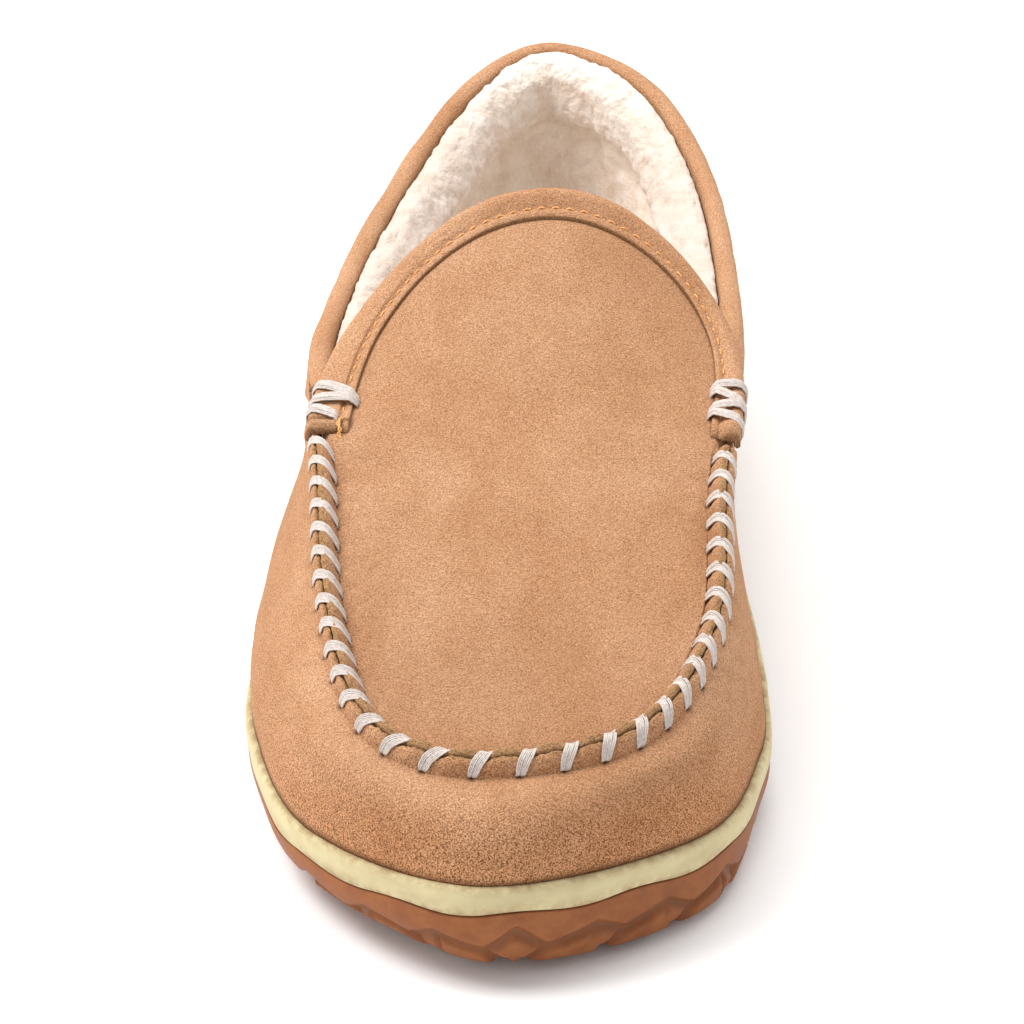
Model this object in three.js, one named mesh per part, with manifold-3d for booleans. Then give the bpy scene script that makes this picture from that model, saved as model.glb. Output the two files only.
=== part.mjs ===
// A left-foot moccasin slipper: suede upper with a whip-stitched apron, fleece lining, foam midsole
// and a lugged rubber outsole. Millimetres, +Z up. The origin is on the ground under the middle of
// the shoe. The toe points along -Y, the heel along +Y, and the outer (little-toe) side is +X.
import * as THREE from "three";
import { mergeVertices } from "three/addons/utils/BufferGeometryUtils.js";
import Module from "manifold-3d";

const wasm = await Module();
wasm.setup();

// ---- driving dimensions ------------------------------------------------------------------------
const GAP = 0.3; // clearance between neighbouring pieces
const SOLE_GAP = 0.5; // and between the rubber and the foam
const OUTSOLE_EDGE = 11; // height of the rubber's side above the ground
const MIDSOLE_TOE = 6; // foam thickness under the toes
const MIDSOLE_HEEL = 10; // foam thickness under the heel
const TOE_SPRING_BOTTOM = 3.5; // how far the tread curls up at the toe
const TOE_SPRING_TOP = 7; // how far the top of the rubber rises at the toe
const TREAD = 3; // lug height
const EDGE_LUGS = 34;
const CHEVRONS = 12;
const SOLE_SIDES = 48; // flats round each layer of the sole
const LEDGE = 1.4; // foam standing proud of the upper
const SUEDE = 1.8;
const FLEECE = 4.6;
const BED_INSET = 14.5; // how far in from the sole's edge the footbed lies
const MARGIN = 9; // suede turned in under the insole board
const RIDGE = 4.2; // height of the raised apron seam
const FLANGE = 1.7; // thickness of each edge in the raised seam
const BAND_INNER = 8.8; // width of the folded band at its end on the inner side
const BAND_OUTER = 6; // and from the middle of the throat to the outer side
const STITCHES = 32; // whip stitches round the apron
const LACE_WIDTH = 2.8;
const LACE_THICK = 1.1;
const HOLE_UP = 1.9; // height of the lace holes above the seam's foot
const THREAD = 0.7;

const CENTRE = [2.05, -1, 0]; // brings the middle of the shoe over the origin

// Places round the shoe run from 0 at the heel, along the outer side to 0.5 at the toe, and back to 1.
const TOE = 0.5;
const RIDGE_START = 0.3; // where the raised seam begins on the outer side
const RIDGE_END = 0.692; // and where it ends on the inner side
const SEAM_OUTER = 0.262; // side seams between vamp and quarters
const SEAM_INNER = 0.738;

const V = (x, y, z = 0) => new THREE.Vector3(x, y, z);
const UP = V(0, 0, 1);
const curve = (points, closed) =>
  new THREE.CatmullRomCurve3(points.map((p) => V(...p)), closed, "catmullrom", 0.5);
const closedCurve = (points) => curve(points, true);
const openCurve = (points) => curve(points, false);
const { lerp, smoothstep } = THREE.MathUtils;
const turn = (t) => t - Math.floor(t);
const steps = (n, from = 0, to = 1) => Array.from({ length: n + 1 }, (_, i) => lerp(from, to, i / n));

// Plan outline of the midsole, heel first.
const soleLine = closedCurve([
  [3, 145], [29, 128], [41, 90], [40.5, 35], [48.5, -20], [52.5, -61], [51.3, -88], [38.3, -121.7],
  [-3.6, -145.2], [-38.9, -124], [-54.1, -86.4], [-56.5, -54.3], [-48, -8], [-38.9, 40], [-34, 92],
  [-24, 130],
]);

// Top edge of the upper's side wall: the topline at the back, the foot of the raised seam in front.
const topLine = closedCurve([
  [1.1, 143.4, 75], [25.1, 126.6, 70], [39.5, 90.3, 63], [44.7, 34.9, 62], [44.2, -14.2, 64.5],
  [40.9, -56.1, 62.5], [38.9, -94.1, 50], [23.5, -122.1, 43.5], [-7.5, -129.4, 41], [-26.8, -119.7, 43.5],
  [-36.4, -92, 52], [-41.2, -51.7, 63.5], [-46.1, -9.9, 64.5], [-43.9, 35, 62], [-33.9, 90.2, 63],
  [-17.8, 128.8, 70],
]);

// Outer edge of the folded band round the throat, in plan, inner side to outer side.
const throatLine = openCurve([
  [-45, -45], [-43.6, -31.5], [-40, -19.3], [-33.9, -9.5], [-25, -1.2], [-12.5, 5.3], [1.8, 8.6],
  [15.4, 8.4], [28.7, 4.7], [38.6, -2.6], [44.3, -14.3], [45.8, -29], [44.6, -45],
]);

// Height of the instep's crest and of its sides, along the shoe.
const crestLine = openCurve([
  [-128, 41.5], [-100, 50.5], [-70, 61], [-40, 72.5], [-10, 87.5], [10, 98], [30, 107],
]);
const edgeLine = openCurve([
  [-128, 41.5], [-100, 49.5], [-70, 58.5], [-56, 62.3], [-46, 66.5], [-30, 69.5], [-10, 73], [10, 76],
  [30, 78],
]);

// ---- the last: surfaces that every piece follows -------------------------------------------------
function heightAlong(curve, y) {
  let low = 0;
  let high = 1;
  for (let i = 0; i < 24; i++) {
    const middle = (low + high) / 2;
    if (curve.getPoint(middle).x < y) low = middle;
    else high = middle;
  }
  return curve.getPoint(low).y;
}

// The apron's domed surface.
function dome(x, y) {
  const along = THREE.MathUtils.clamp(y, -127.9, 29.9);
  const crest = heightAlong(crestLine, along);
  const edge = heightAlong(edgeLine, along);
  return crest - (crest - edge) * Math.pow(Math.abs(x) / 44, 2.2);
}

const toeShare = (y) => THREE.MathUtils.clamp((-y - 70) / 75, 0, 1) ** 2;
const heelShare = (y) => THREE.MathUtils.clamp((y - 105) / 40, 0, 1) ** 2;
const treadZ = (y) => TOE_SPRING_BOTTOM * toeShare(y) + 2 * heelShare(y);
const rubberZ = (y) => OUTSOLE_EDGE + TOE_SPRING_TOP * toeShare(y);
const footZ = (y) => rubberZ(y) + lerp(MIDSOLE_TOE, MIDSOLE_HEEL, smoothstep(y, -60, 90));

function outward(t) {
  const along = soleLine.getPoint(turn(t + 0.002)).sub(soleLine.getPoint(turn(t - 0.002)));
  return V(-along.y, along.x).normalize();
}

// A point of the sole's outline, moved in by inset.
const outline = (t, inset) => soleLine.getPoint(turn(t)).addScaledVector(outward(t), -inset);

const within = (t, from, to, fade) => smoothstep(t, from, from + fade) * (1 - smoothstep(t, to - fade, to));
const ridgeShare = (t) => within(t, RIDGE_START, RIDGE_END, 0.006);
const toeWrap = (t) => 1 - smoothstep(Math.abs(turn(t) - TOE), 0.06, 0.24);
const outerShare = (t) => within(turn(t), 0.04, TOE, 0.12);
const innerWaist = (t) => within(turn(t), 0.67, 0.97, 0.07);
const heelShrink = (t) => 1 - smoothstep(Math.abs(turn(t + 0.5) - 0.5), 0.02, 0.16);
const bandWidth = (s) => lerp(BAND_INNER, BAND_OUTER, smoothstep(s, 0, 0.5));

// How far the tread's edge is tucked in under the sole's outline: more on the inner side of the toe
// than on the outer side.
const undercut = (t) =>
  3.5 - 2.5 * within(turn(t), 0.36, TOE, 0.05) + 3 * within(turn(t), TOE, 0.72, 0.07);

// The side wall from the sole (rise 0) to its top edge (rise 1), as a cubic in the wall's own plane.
// It is full on the inner side and stands straight on the outer side.
function wall(t, rise) {
  const out = outward(t);
  const wrap = toeWrap(t);
  const low = outline(t, LEDGE);
  low.z = footZ(low.y) + GAP;
  const flare = within(turn(t), RIDGE_START - 0.03, RIDGE_END + 0.03, 0.035);
  const high = topLine.getPoint(turn(t)).addScaledVector(out, (FLANGE + GAP / 2) * flare);
  const tall = high.z - low.z;
  const inner = [lerp(2.5, 1.5, innerWaist(t)), lerp(5.2, 1.2, innerWaist(t))];
  const bellyOut = lerp(lerp(inner[0], -5, outerShare(t)), 0.5, wrap);
  const shoulderOut = lerp(lerp(inner[1], -0.5, outerShare(t)), 9.5, wrap);
  const offset = (from, outwards, upwards) =>
    from.clone().addScaledVector(out, outwards).addScaledVector(UP, tall * upwards);
  const belly = offset(low, bellyOut, lerp(0.35, 0.6, wrap));
  const shoulder = offset(high, shoulderOut, -lerp(0.35, 0.06, wrap));
  return new THREE.CubicBezierCurve3(low, belly, shoulder, high).getPoint(rise);
}

// The wall moved towards the foot by depth.
function layer(t, rise, depth) {
  const e = 0.004;
  const along = wall(t + e, rise).sub(wall(t - e, rise));
  const up = wall(t, Math.min(1, rise + 0.03)).sub(wall(t, Math.max(0, rise - 0.03)));
  return wall(t, rise).addScaledVector(along.cross(up).normalize(), depth);
}

// ---- solids from sections ------------------------------------------------------------------------
// Joins loops of points into one closed solid. Ends are closed by a fan round their middle, or, for
// a thin section, by a ladder between its two long sides.
function skin(loops, { closed = false, ladder = false } = {}) {
  const points = loops.flat();
  const n = loops[0].length;
  const index = [];
  const spans = closed ? loops.length : loops.length - 1;
  for (let i = 0; i < spans; i++) {
    const a = i * n;
    const b = ((i + 1) % loops.length) * n;
    for (let j = 0; j < n; j++) {
      const k = (j + 1) % n;
      index.push(a + j, b + j, b + k, a + j, b + k, a + k);
    }
  }
  const cap = (start, flip) => {
    const put = (a, b, c) => (flip ? index.push(a, b, c) : index.push(a, c, b));
    if (ladder) {
      for (let j = 0; j < n / 2 - 1; j++) {
        put(start + j, start + n - 1 - j, start + n - 2 - j);
        put(start + j, start + n - 2 - j, start + j + 1);
      }
      return;
    }
    const middle = V(0, 0);
    for (let j = 0; j < n; j++) middle.addScaledVector(points[start + j], 1 / n);
    points.push(middle);
    for (let j = 0; j < n; j++) put(points.length - 1, start + ((j + 1) % n), start + j);
  };
  if (!closed) {
    cap(0, false);
    cap((loops.length - 1) * n, true);
  }
  return closedGeometry(points, index);
}

// A geometry whose faces point out, whichever way its loops ran.
function closedGeometry(points, index) {
  let volume = 0;
  for (let i = 0; i < index.length; i += 3) {
    const [a, b, c] = [points[index[i]], points[index[i + 1]], points[index[i + 2]]];
    volume += a.dot(b.clone().cross(c));
  }
  const flipped = (_, i) => (i % 3 ? [] : [index[i], index[i + 2], index[i + 1]]);
  const facing = volume < 0 ? index.flatMap(flipped) : index;
  return new THREE.BufferGeometry().setFromPoints(points).setIndex(facing);
}

// A sheet between two grids of points, outer and inner, each a list of columns.
const sheet = (outer, inner, closed = false) =>
  skin(outer.map((column, i) => [...column, ...[...inner[i]].reverse()]), { closed, ladder: true });

function manifold(geometry) {
  const bare = new THREE.BufferGeometry().setAttribute("position", geometry.getAttribute("position"));
  bare.setIndex(geometry.index);
  const merged = mergeVertices(bare, 1e-4);
  const vertProperties = merged.attributes.position.array;
  const triVerts = new Uint32Array(merged.index.array);
  return new wasm.Manifold(new wasm.Mesh({ numProp: 3, vertProperties, triVerts }));
}

function geometryOf(solid) {
  const mesh = solid.getMesh();
  return new THREE.BufferGeometry()
    .setAttribute("position", new THREE.BufferAttribute(mesh.vertProperties, 3))
    .setIndex(new THREE.BufferAttribute(mesh.triVerts, 1));
}

const cut = (geometry, tools) =>
  geometryOf(tools.reduce((solid, tool) => solid.subtract(manifold(tool)), manifold(geometry)));
const join = (geometry, others) =>
  geometryOf(others.reduce((solid, other) => solid.add(manifold(other)), manifold(geometry)));

// ---- sole ----------------------------------------------------------------------------------------
// A loop of the sole's outline at an inset and height, shrunk to a share of its size. The inset is a
// number, or a function of the place.
function soleLoop(inset, height, share = 1, count = SOLE_SIDES) {
  return steps(count).slice(0, -1).map((t) => {
    const p = outline(t, typeof inset === "function" ? inset(t) : inset);
    const q = V(lerp(1, p.x, share), lerp(0, p.y, share));
    q.z = height(q.y);
    return q;
  });
}

// A flat-lying layer of the sole: sections at the given insets and heights, closed across the middle.
function slab(sections) {
  const first = sections[0];
  const last = sections[sections.length - 1];
  const shares = [0.3, 0.65];
  return skin([
    ...shares.map((s) => soleLoop(first[0], first[1], s)),
    ...sections.map(([inset, height]) => soleLoop(inset, height)),
    ...shares.toReversed().map((s) => soleLoop(last[0], last[1], s)),
  ]);
}

// A lug standing down from the tread: a prism on a plan outline.
function lug(corners) {
  const shape = new THREE.Shape(corners.map((p) => new THREE.Vector2(p.x, p.y)));
  const bottom = treadZ(corners.reduce((sum, p) => sum + p.y, 0) / corners.length);
  const prism = new THREE.ExtrudeGeometry(shape, { depth: TREAD + 1, bevelEnabled: false });
  return prism.translate(0, 0, bottom);
}

function outsole() {
  const base = slab([
    [(t) => undercut(t) + 2, (y) => treadZ(y) + TREAD],
    [undercut, (y) => treadZ(y) + TREAD],
    [0.8, (y) => lerp(treadZ(y), rubberZ(y), 0.62)],
    [0, (y) => rubberZ(y) - 1],
    [0.3, (y) => rubberZ(y) - SOLE_GAP],
    [BED_INSET, (y) => rubberZ(y) - SOLE_GAP],
  ]);
  const lugs = [];
  for (let i = 0; i < EDGE_LUGS; i++) {
    const t = i / EDGE_LUGS;
    const half = 0.36 / EDGE_LUGS;
    const tip = undercut(t);
    const [start, end] = [outline(t - half, tip + 0.3), outline(t + half, tip + 0.3)];
    lugs.push(lug([start, outline(t, tip - 0.1), end, outline(t, 15)]));
  }
  const field = new THREE.Shape(soleLoop(17, treadZ, 1, 40).map((p) => new THREE.Vector2(p.x, p.y)));
  const inside = manifold(new THREE.ExtrudeGeometry(field, { depth: 3 * TREAD, bevelEnabled: false }));
  const chevrons = steps(CHEVRONS, -112, 104).map((y) =>
    lug([V(-60, y + 9), V(0, y - 5), V(60, y + 9), V(60, y + 16), V(0, y + 2), V(-60, y + 16)]));
  const pattern = chevrons.map((bar) => geometryOf(manifold(bar).intersect(inside)));
  return join(base, [...lugs, ...pattern]);
}

const midsole = () => slab([
  [BED_INSET, rubberZ],
  [1.2, rubberZ],
  [0.1, (y) => rubberZ(y) + 1.5],
  [0, (y) => lerp(rubberZ(y), footZ(y), 0.6)],
  [1, (y) => footZ(y) - 0.6],
  [2.2, footZ],
  [BED_INSET, footZ],
]);

// A flat layer of even thickness, from and to above the foam.
const flatLayer = (inset, from, to) => slab([
  [BED_INSET, (y) => footZ(y) + from],
  [inset + 0.3, (y) => footZ(y) + from],
  [inset, (y) => footZ(y) + (from + to) / 2],
  [inset + 0.3, (y) => footZ(y) + to],
  [BED_INSET, (y) => footZ(y) + to],
]);

// ---- upper ---------------------------------------------------------------------------------------
// Columns of a wall sheet between two places round the shoe. Each row is [rise, depth], and place
// maps a column's share and a rise to a place, so that an end can slant.
function wallColumns(count, place, rows) {
  return steps(count).map((share) => rows.map(([rise, depth]) => layer(place(share, rise), rise, depth)));
}

// The slanting side seams: further back at the sole than at the top.
const seamOuter = (rise) => SEAM_OUTER - 0.03 * (1 - rise);
const seamInner = (rise) => SEAM_INNER + 0.03 * (1 - rise);

const WALL_RISES = [0.15, 0.35, 0.55, 0.75, 0.9];

// A suede side piece: its turned-in margin, its wall, and its top edge, which on the vamp stands up
// as the outer half of the raised seam.
function suedeWall(count, place) {
  const column = (share, depth) => {
    const lift = GAP + depth;
    const foot = place(share, 0);
    const turnedIn = outline(foot, LEDGE + MARGIN);
    turnedIn.z = footZ(turnedIn.y) + lift;
    const heel = layer(foot, 0, depth);
    heel.z = footZ(heel.y) + lift;
    const walls = WALL_RISES.map((rise) => layer(place(share, rise), rise, depth));
    return [turnedIn, heel, ...walls, ...topEdge(place(share, 1), depth)];
  };
  return sheet(steps(count).map((s) => column(s, 0)), steps(count).map((s) => column(s, SUEDE)));
}

// The last two points of a wall's section.
function topEdge(t, depth) {
  const ridge = ridgeShare(t);
  const out = outward(t);
  const face = depth ? GAP / 2 : FLANGE + GAP / 2;
  const seam = topLine.getPoint(t).addScaledVector(out, face);
  const plain = layer(t, 1, depth);
  const root = plain.clone().lerp(seam, ridge).addScaledVector(UP, depth ? -0.4 * ridge : 0);
  return [root, root.clone().addScaledVector(UP, lerp(0.3, RIDGE, ridge))];
}

const vampPlace = (share, rise) => lerp(seamOuter(rise), seamInner(rise), share);
const quarterOuterPlace = (share, rise) => lerp(0.0006, seamOuter(rise) - 0.001, share);
const quarterInnerPlace = (share, rise) => lerp(seamInner(rise) + 0.001, 0.9994, share);

// A pad round the heel, as far as the given place on each side. Rows are [rise, depth].
const heelPad = (count, reach, outerRows, innerRows) => {
  const place = (share) => lerp(-reach, reach, share);
  return sheet(wallColumns(count, place, outerRows), wallColumns(count, place, innerRows));
};

const heelCounter = () => {
  const rows = (depth) => [0.14, 0.35, 0.58].map((rise) => [rise, SUEDE + depth]);
  return heelPad(14, 0.12, rows(GAP), rows(1.5));
};

const collarFoam = () => heelPad(
  26,
  0.235,
  [[0.64, SUEDE + 0.7], [0.8, SUEDE + 0.7], [0.96, SUEDE + 0.7]],
  [[0.66, SUEDE + 2], [0.8, SUEDE + 4], [0.95, SUEDE + 4]],
);

// A place above or below the topline: across is outwards from it.
const offTop = (t, across, up) =>
  topLine.getPoint(turn(t)).addScaledVector(outward(t), across).addScaledVector(UP, up);

// The lining swells into a padded roll round the opening, which meets the binding at the topline.
const quarterLining = () => {
  const outerSkin = (t) => [
    layer(t, 0.13, 3.7), layer(t, 0.35, 3.7), layer(t, 0.6, 4.1), layer(t, 0.72, 6.3), layer(t, 0.9, 6.4),
    offTop(t, -6.5, -1), offTop(t, -4.1, -0.6), offTop(t, -4, 0.9),
  ];
  const innerSkin = (t) => {
    const roll = 12.2 - 2.6 * heelShrink(t);
    return [
      layer(t, 0.13, 8), layer(t, 0.35, 8.2), layer(t, 0.6, 8.4), layer(t, 0.7, roll - 1.4),
      layer(t, 0.79, roll), layer(t, 0.9, roll), offTop(t, 2.7 - roll, 0.8), offTop(t, -6, 2.4),
    ];
  };
  const places = steps(32, -0.256, 0.256);
  return sheet(places.map(outerSkin), places.map(innerSkin));
};

const vampLining = () => {
  const place = (s) => lerp(0.264, 0.736, s);
  const rises = [0.26, 0.45, 0.62, 0.78];
  const at = (depth) => wallColumns(36, place, rises.map((rise) => [rise, depth]));
  return sheet(at(SUEDE + 0.8), at(SUEDE + FLEECE));
};

// The folded binding over the topline, in the plane across the edge.
function toplineBinding() {
  const outerSkin = (t) => [
    layer(t, 0.8, -1.6), layer(t, 0.9, -1.6), offTop(t, 1.5, 0.2), offTop(t, 0.5, 1.9), offTop(t, -1.4, 2.3),
    offTop(t, -3, 1.5), offTop(t, -3.5, -0.9),
  ];
  const innerSkin = (t) => [
    layer(t, 0.8, -GAP), layer(t, 0.9, -GAP), offTop(t, 0.5, 0.3), offTop(t, 0, 0.8), offTop(t, -1.4, 1),
    offTop(t, -2.3, 0.6), offTop(t, -2.6, -0.9),
  ];
  const places = steps(40, -0.256, 0.256);
  return sheet(places.map(outerSkin), places.map(innerSkin));
}

// ---- apron ---------------------------------------------------------------------------------------
const APRON_CENTRE = V(-1, -58);

// A place in the throat's own frame: s along it, e outwards from the band's edge, up off the dome.
function throat(s, e, up) {
  const a = throatLine.getPoint(Math.max(0, s - 0.004));
  const b = throatLine.getPoint(Math.min(1, s + 0.004));
  const out = V(-(b.y - a.y), b.x - a.x).normalize();
  const p = throatLine.getPoint(s).addScaledVector(out, e);
  p.z = dome(p.x, p.y) + up;
  return p;
}

// The apron's boundary: the raised seam round the toe, then back along the throat.
function apronEdge(inset, throatInset) {
  const front = steps(44, RIDGE_START + 0.001, RIDGE_END - 0.001).map((t) => {
    const p = topLine.getPoint(t).addScaledVector(outward(t), -inset);
    return { p, lift: ridgeShare(t) };
  });
  const back = steps(16, 0.03, 0.97).map((s) => ({ p: throat(s, -throatInset, 0), lift: 0 }));
  return [...front, ...back];
}

// A loop across the apron at an inset from its edge, shrunk about its middle, at a height off the dome.
function apronLoop(inset, throatInset, share, up, lift = 0) {
  return apronEdge(inset, throatInset).map((edge) => {
    const x = lerp(APRON_CENTRE.x, edge.p.x, share);
    const y = lerp(APRON_CENTRE.y, edge.p.y, share);
    return V(x, y, dome(x, y) + up + lift * edge.lift);
  });
}

function apron() {
  const inner = [0.4, 0.75];
  return skin([
    ...inner.map((share) => apronLoop(FLANGE, 3.4, share, 0)),
    apronLoop(FLANGE + 0.15, 3.4, 1, 0),
    apronLoop(FLANGE + 0.05, 2.4, 1, 0, RIDGE - 0.6),
    apronLoop(GAP, 1.6, 1, 0, RIDGE - 0.6),
    apronLoop(GAP, 1.6, 1, -SUEDE),
    ...inner.toReversed().map((share) => apronLoop(FLANGE, 3.4, share, -SUEDE)),
  ]);
}

function apronLining() {
  const top = -SUEDE - 0.8;
  const bottom = top - 3;
  return skin([
    ...[0.4, 0.75].map((share) => apronLoop(5, 5.5, share, top)),
    apronLoop(5, 5.5, 1, top),
    apronLoop(6, 5.5, 1, bottom),
    ...[0.75, 0.4].map((share) => apronLoop(5, 5.5, share, bottom)),
  ]);
}

// The band folded over the throat's edge. Its underside dies away towards the corners.
function throatBand() {
  const places = steps(34, 0, 1);
  const wrap = (s) => smoothstep(s, 0.16, 0.3) * (1 - smoothstep(s, 0.7, 0.84));
  // A point that moves from a plain place (across, up) to a folded one as the band wraps round.
  const fold = (s, [across, up], [acrossFolded, upFolded]) =>
    throat(s, lerp(across, acrossFolded, wrap(s)), lerp(up, upFolded, wrap(s)));
  const outerSkin = (s) => [
    throat(s, -bandWidth(s), 1.5), throat(s, -bandWidth(s) / 2, 1.9), throat(s, -1.2, 1.9),
    fold(s, [0, 1.2], [0, 0.4]), fold(s, [0, 0.6], [0.3, -2.5]), fold(s, [-0.3, 0.35], [-1.6, -6.8]),
  ];
  const innerSkin = (s) => [
    throat(s, -bandWidth(s), GAP), throat(s, -bandWidth(s) / 2, GAP), throat(s, -2.2, GAP),
    fold(s, [-1.4, GAP], [-1.4, 0]), fold(s, [-1, GAP], [-1.1, -2.5]), fold(s, [-0.7, GAP], [-2.4, -6.6]),
  ];
  return sheet(places.map(outerSkin), places.map(innerSkin));
}

// ---- lace and thread -----------------------------------------------------------------------------
// A flat lace along a path of { p, side }, its width lying along side.
function lace(path, width, thick) {
  const loops = path.map(({ p, side }, i) => {
    const [before, after] = [path[Math.max(i - 1, 0)].p, path[Math.min(i + 1, path.length - 1)].p];
    const along = after.clone().sub(before).normalize();
    const across = side.clone().addScaledVector(along, -side.dot(along)).normalize();
    const up = across.clone().cross(along);
    return [[-1, -1], [1, -1], [1, 1], [-1, 1]].map(([a, b]) =>
      p.clone().addScaledVector(across, (a * width) / 2).addScaledVector(up, (b * thick) / 2));
  });
  return skin(loops);
}

// A point of the raised seam: out from its middle and up from its foot on the dome.
function seamPoint(t, out, up) {
  const foot = topLine.getPoint(t);
  const side = topLine.getPoint(t + 0.002).sub(topLine.getPoint(t - 0.002)).normalize();
  const p = V(foot.x, foot.y, dome(foot.x, foot.y) + up).addScaledVector(outward(t), out);
  return { p, side };
}

// Where each stitch comes out of its outer hole. The stitches are wider apart round the toe.
function stitchPlaces() {
  const samples = steps(400, RIDGE_START + 0.003, RIDGE_END - 0.003);
  const reached = samples.map(() => 0);
  for (let i = 1; i < samples.length; i++) {
    const spacing = 1 + 0.3 * (1 - smoothstep(Math.abs(samples[i] - TOE), 0.02, 0.09));
    const step = topLine.getPoint(samples[i]).distanceTo(topLine.getPoint(samples[i - 1]));
    reached[i] = reached[i - 1] + step / spacing;
  }
  return steps(STITCHES).map((share) => samples[reached.findIndex((d) => d >= share * reached[400] - 1e-6)]);
}

// One pass of the lace over the seam: [share of the pitch gone back, outwards, up].
const OVER = [
  [0.6, -FLANGE - 1.6, HOLE_UP], [0.54, -FLANGE - 1.5, RIDGE - 1], [0.42, -FLANGE - 0.4, RIDGE + 1],
  [0.22, FLANGE + 0.5, RIDGE + 1.1], [0.08, FLANGE + 1.5, RIDGE - 0.6], [0, FLANGE + 1.2, HOLE_UP],
];

function seamLace() {
  const places = stitchPlaces();
  const path = places.slice(1).flatMap((t, i) =>
    OVER.map(([back, out, up]) => seamPoint(t - back * (t - places[i]), out, up)));
  return lace(path, LACE_WIDTH, LACE_THICK);
}

// The slanting holes that the lace goes through, from one stitch to the next.
function laceHoles() {
  const places = stitchPlaces();
  const holes = places.slice(1, -1).map((t, i) => {
    const next = lerp(places[i + 2], t, OVER[0][0]);
    const run = [seamPoint(t, FLANGE + 1, HOLE_UP), seamPoint(next, -FLANGE - 1, HOLE_UP)];
    return lace(run, LACE_WIDTH + 2 * GAP, LACE_THICK + 2 * GAP);
  });
  return holes;
}

// A lace on the throat band through places [s, e, up] of its frame.
function bandLace(places, count, width, thick) {
  const path = openCurve(places.map(([s, e, up]) => throat(s, e, up).toArray()));
  const points = steps(count).map((share) => {
    const along = path.getTangent(share);
    return { p: path.getPoint(share), side: UP.clone().cross(along) };
  });
  return lace(points, width, thick);
}

// A tack that holds one end of the band: the lace goes over it and back, three times.
function tack(places) {
  const over = (width) => [
    [1.1, -1.4], [1.1, 1], [-0.9, 2.9], [-width / 2, 3], [0.5 - width, 3], [-1.4 - width, 1.5],
  ];
  const pass = (s, i) => (i % 2 ? over(bandWidth(s)).toReversed() : over(bandWidth(s)));
  const passes = places.map((s, i) => pass(s, i).map(([e, up]) => [s, e, up]));
  return bandLace(passes.flat(), 40, LACE_WIDTH, LACE_THICK);
}

const bandStitching = () =>
  bandLace(steps(24, 0.115, 0.885).map((s) => [s, 1.3 - bandWidth(s), 2.5]), 40, THREAD, THREAD);

// ---- the pieces ----------------------------------------------------------------------------------
const SUEDE_TAN = 0xcf9b72;
const SUEDE_LOOK = { color: SUEDE_TAN, roughness: 0.95 };
const FLEECE_LOOK = { color: 0xf0e8da, roughness: 1 };
const LACE_LOOK = { color: 0xdcd6cb, roughness: 0.7 };

const holes = laceHoles();

const parts = {
  outsole: [outsole(), { color: 0x8a5a35, roughness: 0.75 }],
  midsole: [midsole(), { color: 0xdccb9c, roughness: 0.85 }],
  insole_board: [flatLayer(5.2, 2.4, 3.8), { color: 0xb59d7c, roughness: 0.9 }],
  footbed_foam: [flatLayer(BED_INSET - 1.5, 4.3, 7.2), { color: 0xe6d27a, roughness: 0.95 }],
  footbed_fleece: [flatLayer(BED_INSET - 1.5, 7.7, 10.7), FLEECE_LOOK],
  vamp: [cut(suedeWall(48, vampPlace), holes), SUEDE_LOOK],
  quarter_outer: [suedeWall(22, quarterOuterPlace), SUEDE_LOOK],
  quarter_inner: [suedeWall(22, quarterInnerPlace), SUEDE_LOOK],
  heel_counter: [heelCounter(), { color: 0x9c8468, roughness: 0.9 }],
  collar_foam: [collarFoam(), { color: 0xe6d27a, roughness: 0.95 }],
  topline_binding: [toplineBinding(), SUEDE_LOOK],
  quarter_lining: [quarterLining(), FLEECE_LOOK],
  vamp_lining: [vampLining(), FLEECE_LOOK],
  apron: [cut(apron(), holes), SUEDE_LOOK],
  apron_lining: [apronLining(), FLEECE_LOOK],
  throat_band: [throatBand(), SUEDE_LOOK],
  band_stitching: [bandStitching(), { color: 0xd08a3e, roughness: 0.6 }],
  seam_lace: [seamLace(), LACE_LOOK],
  tack_inner: [tack([0.085, 0.055, 0.025]), LACE_LOOK],
  tack_outer: [tack([0.905, 0.94, 0.975]), LACE_LOOK],
};

const shoe = new THREE.Group();
shoe.name = "moccasin";
shoe.position.set(...CENTRE);
for (const [name, [geometry, look]] of Object.entries(parts)) {
  const solid = geometry.index ? geometry.toNonIndexed() : geometry;
  solid.computeVertexNormals();
  const mesh = new THREE.Mesh(solid, new THREE.MeshStandardMaterial({ metalness: 0, ...look }));
  mesh.name = name;
  shoe.add(mesh);
}

export default shoe;
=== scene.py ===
"""Looks of the left-foot moccasin slipper: suede upper, whip-stitched apron seam, curly fleece
lining, foam midsole and lugged gum-rubber outsole. Shapes are worked out in millimetres on the
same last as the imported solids, and turned into metres when a piece is made."""

import itertools
import math
from functools import partial

import bpy
import numpy as np
from mathutils import Matrix, Vector


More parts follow.
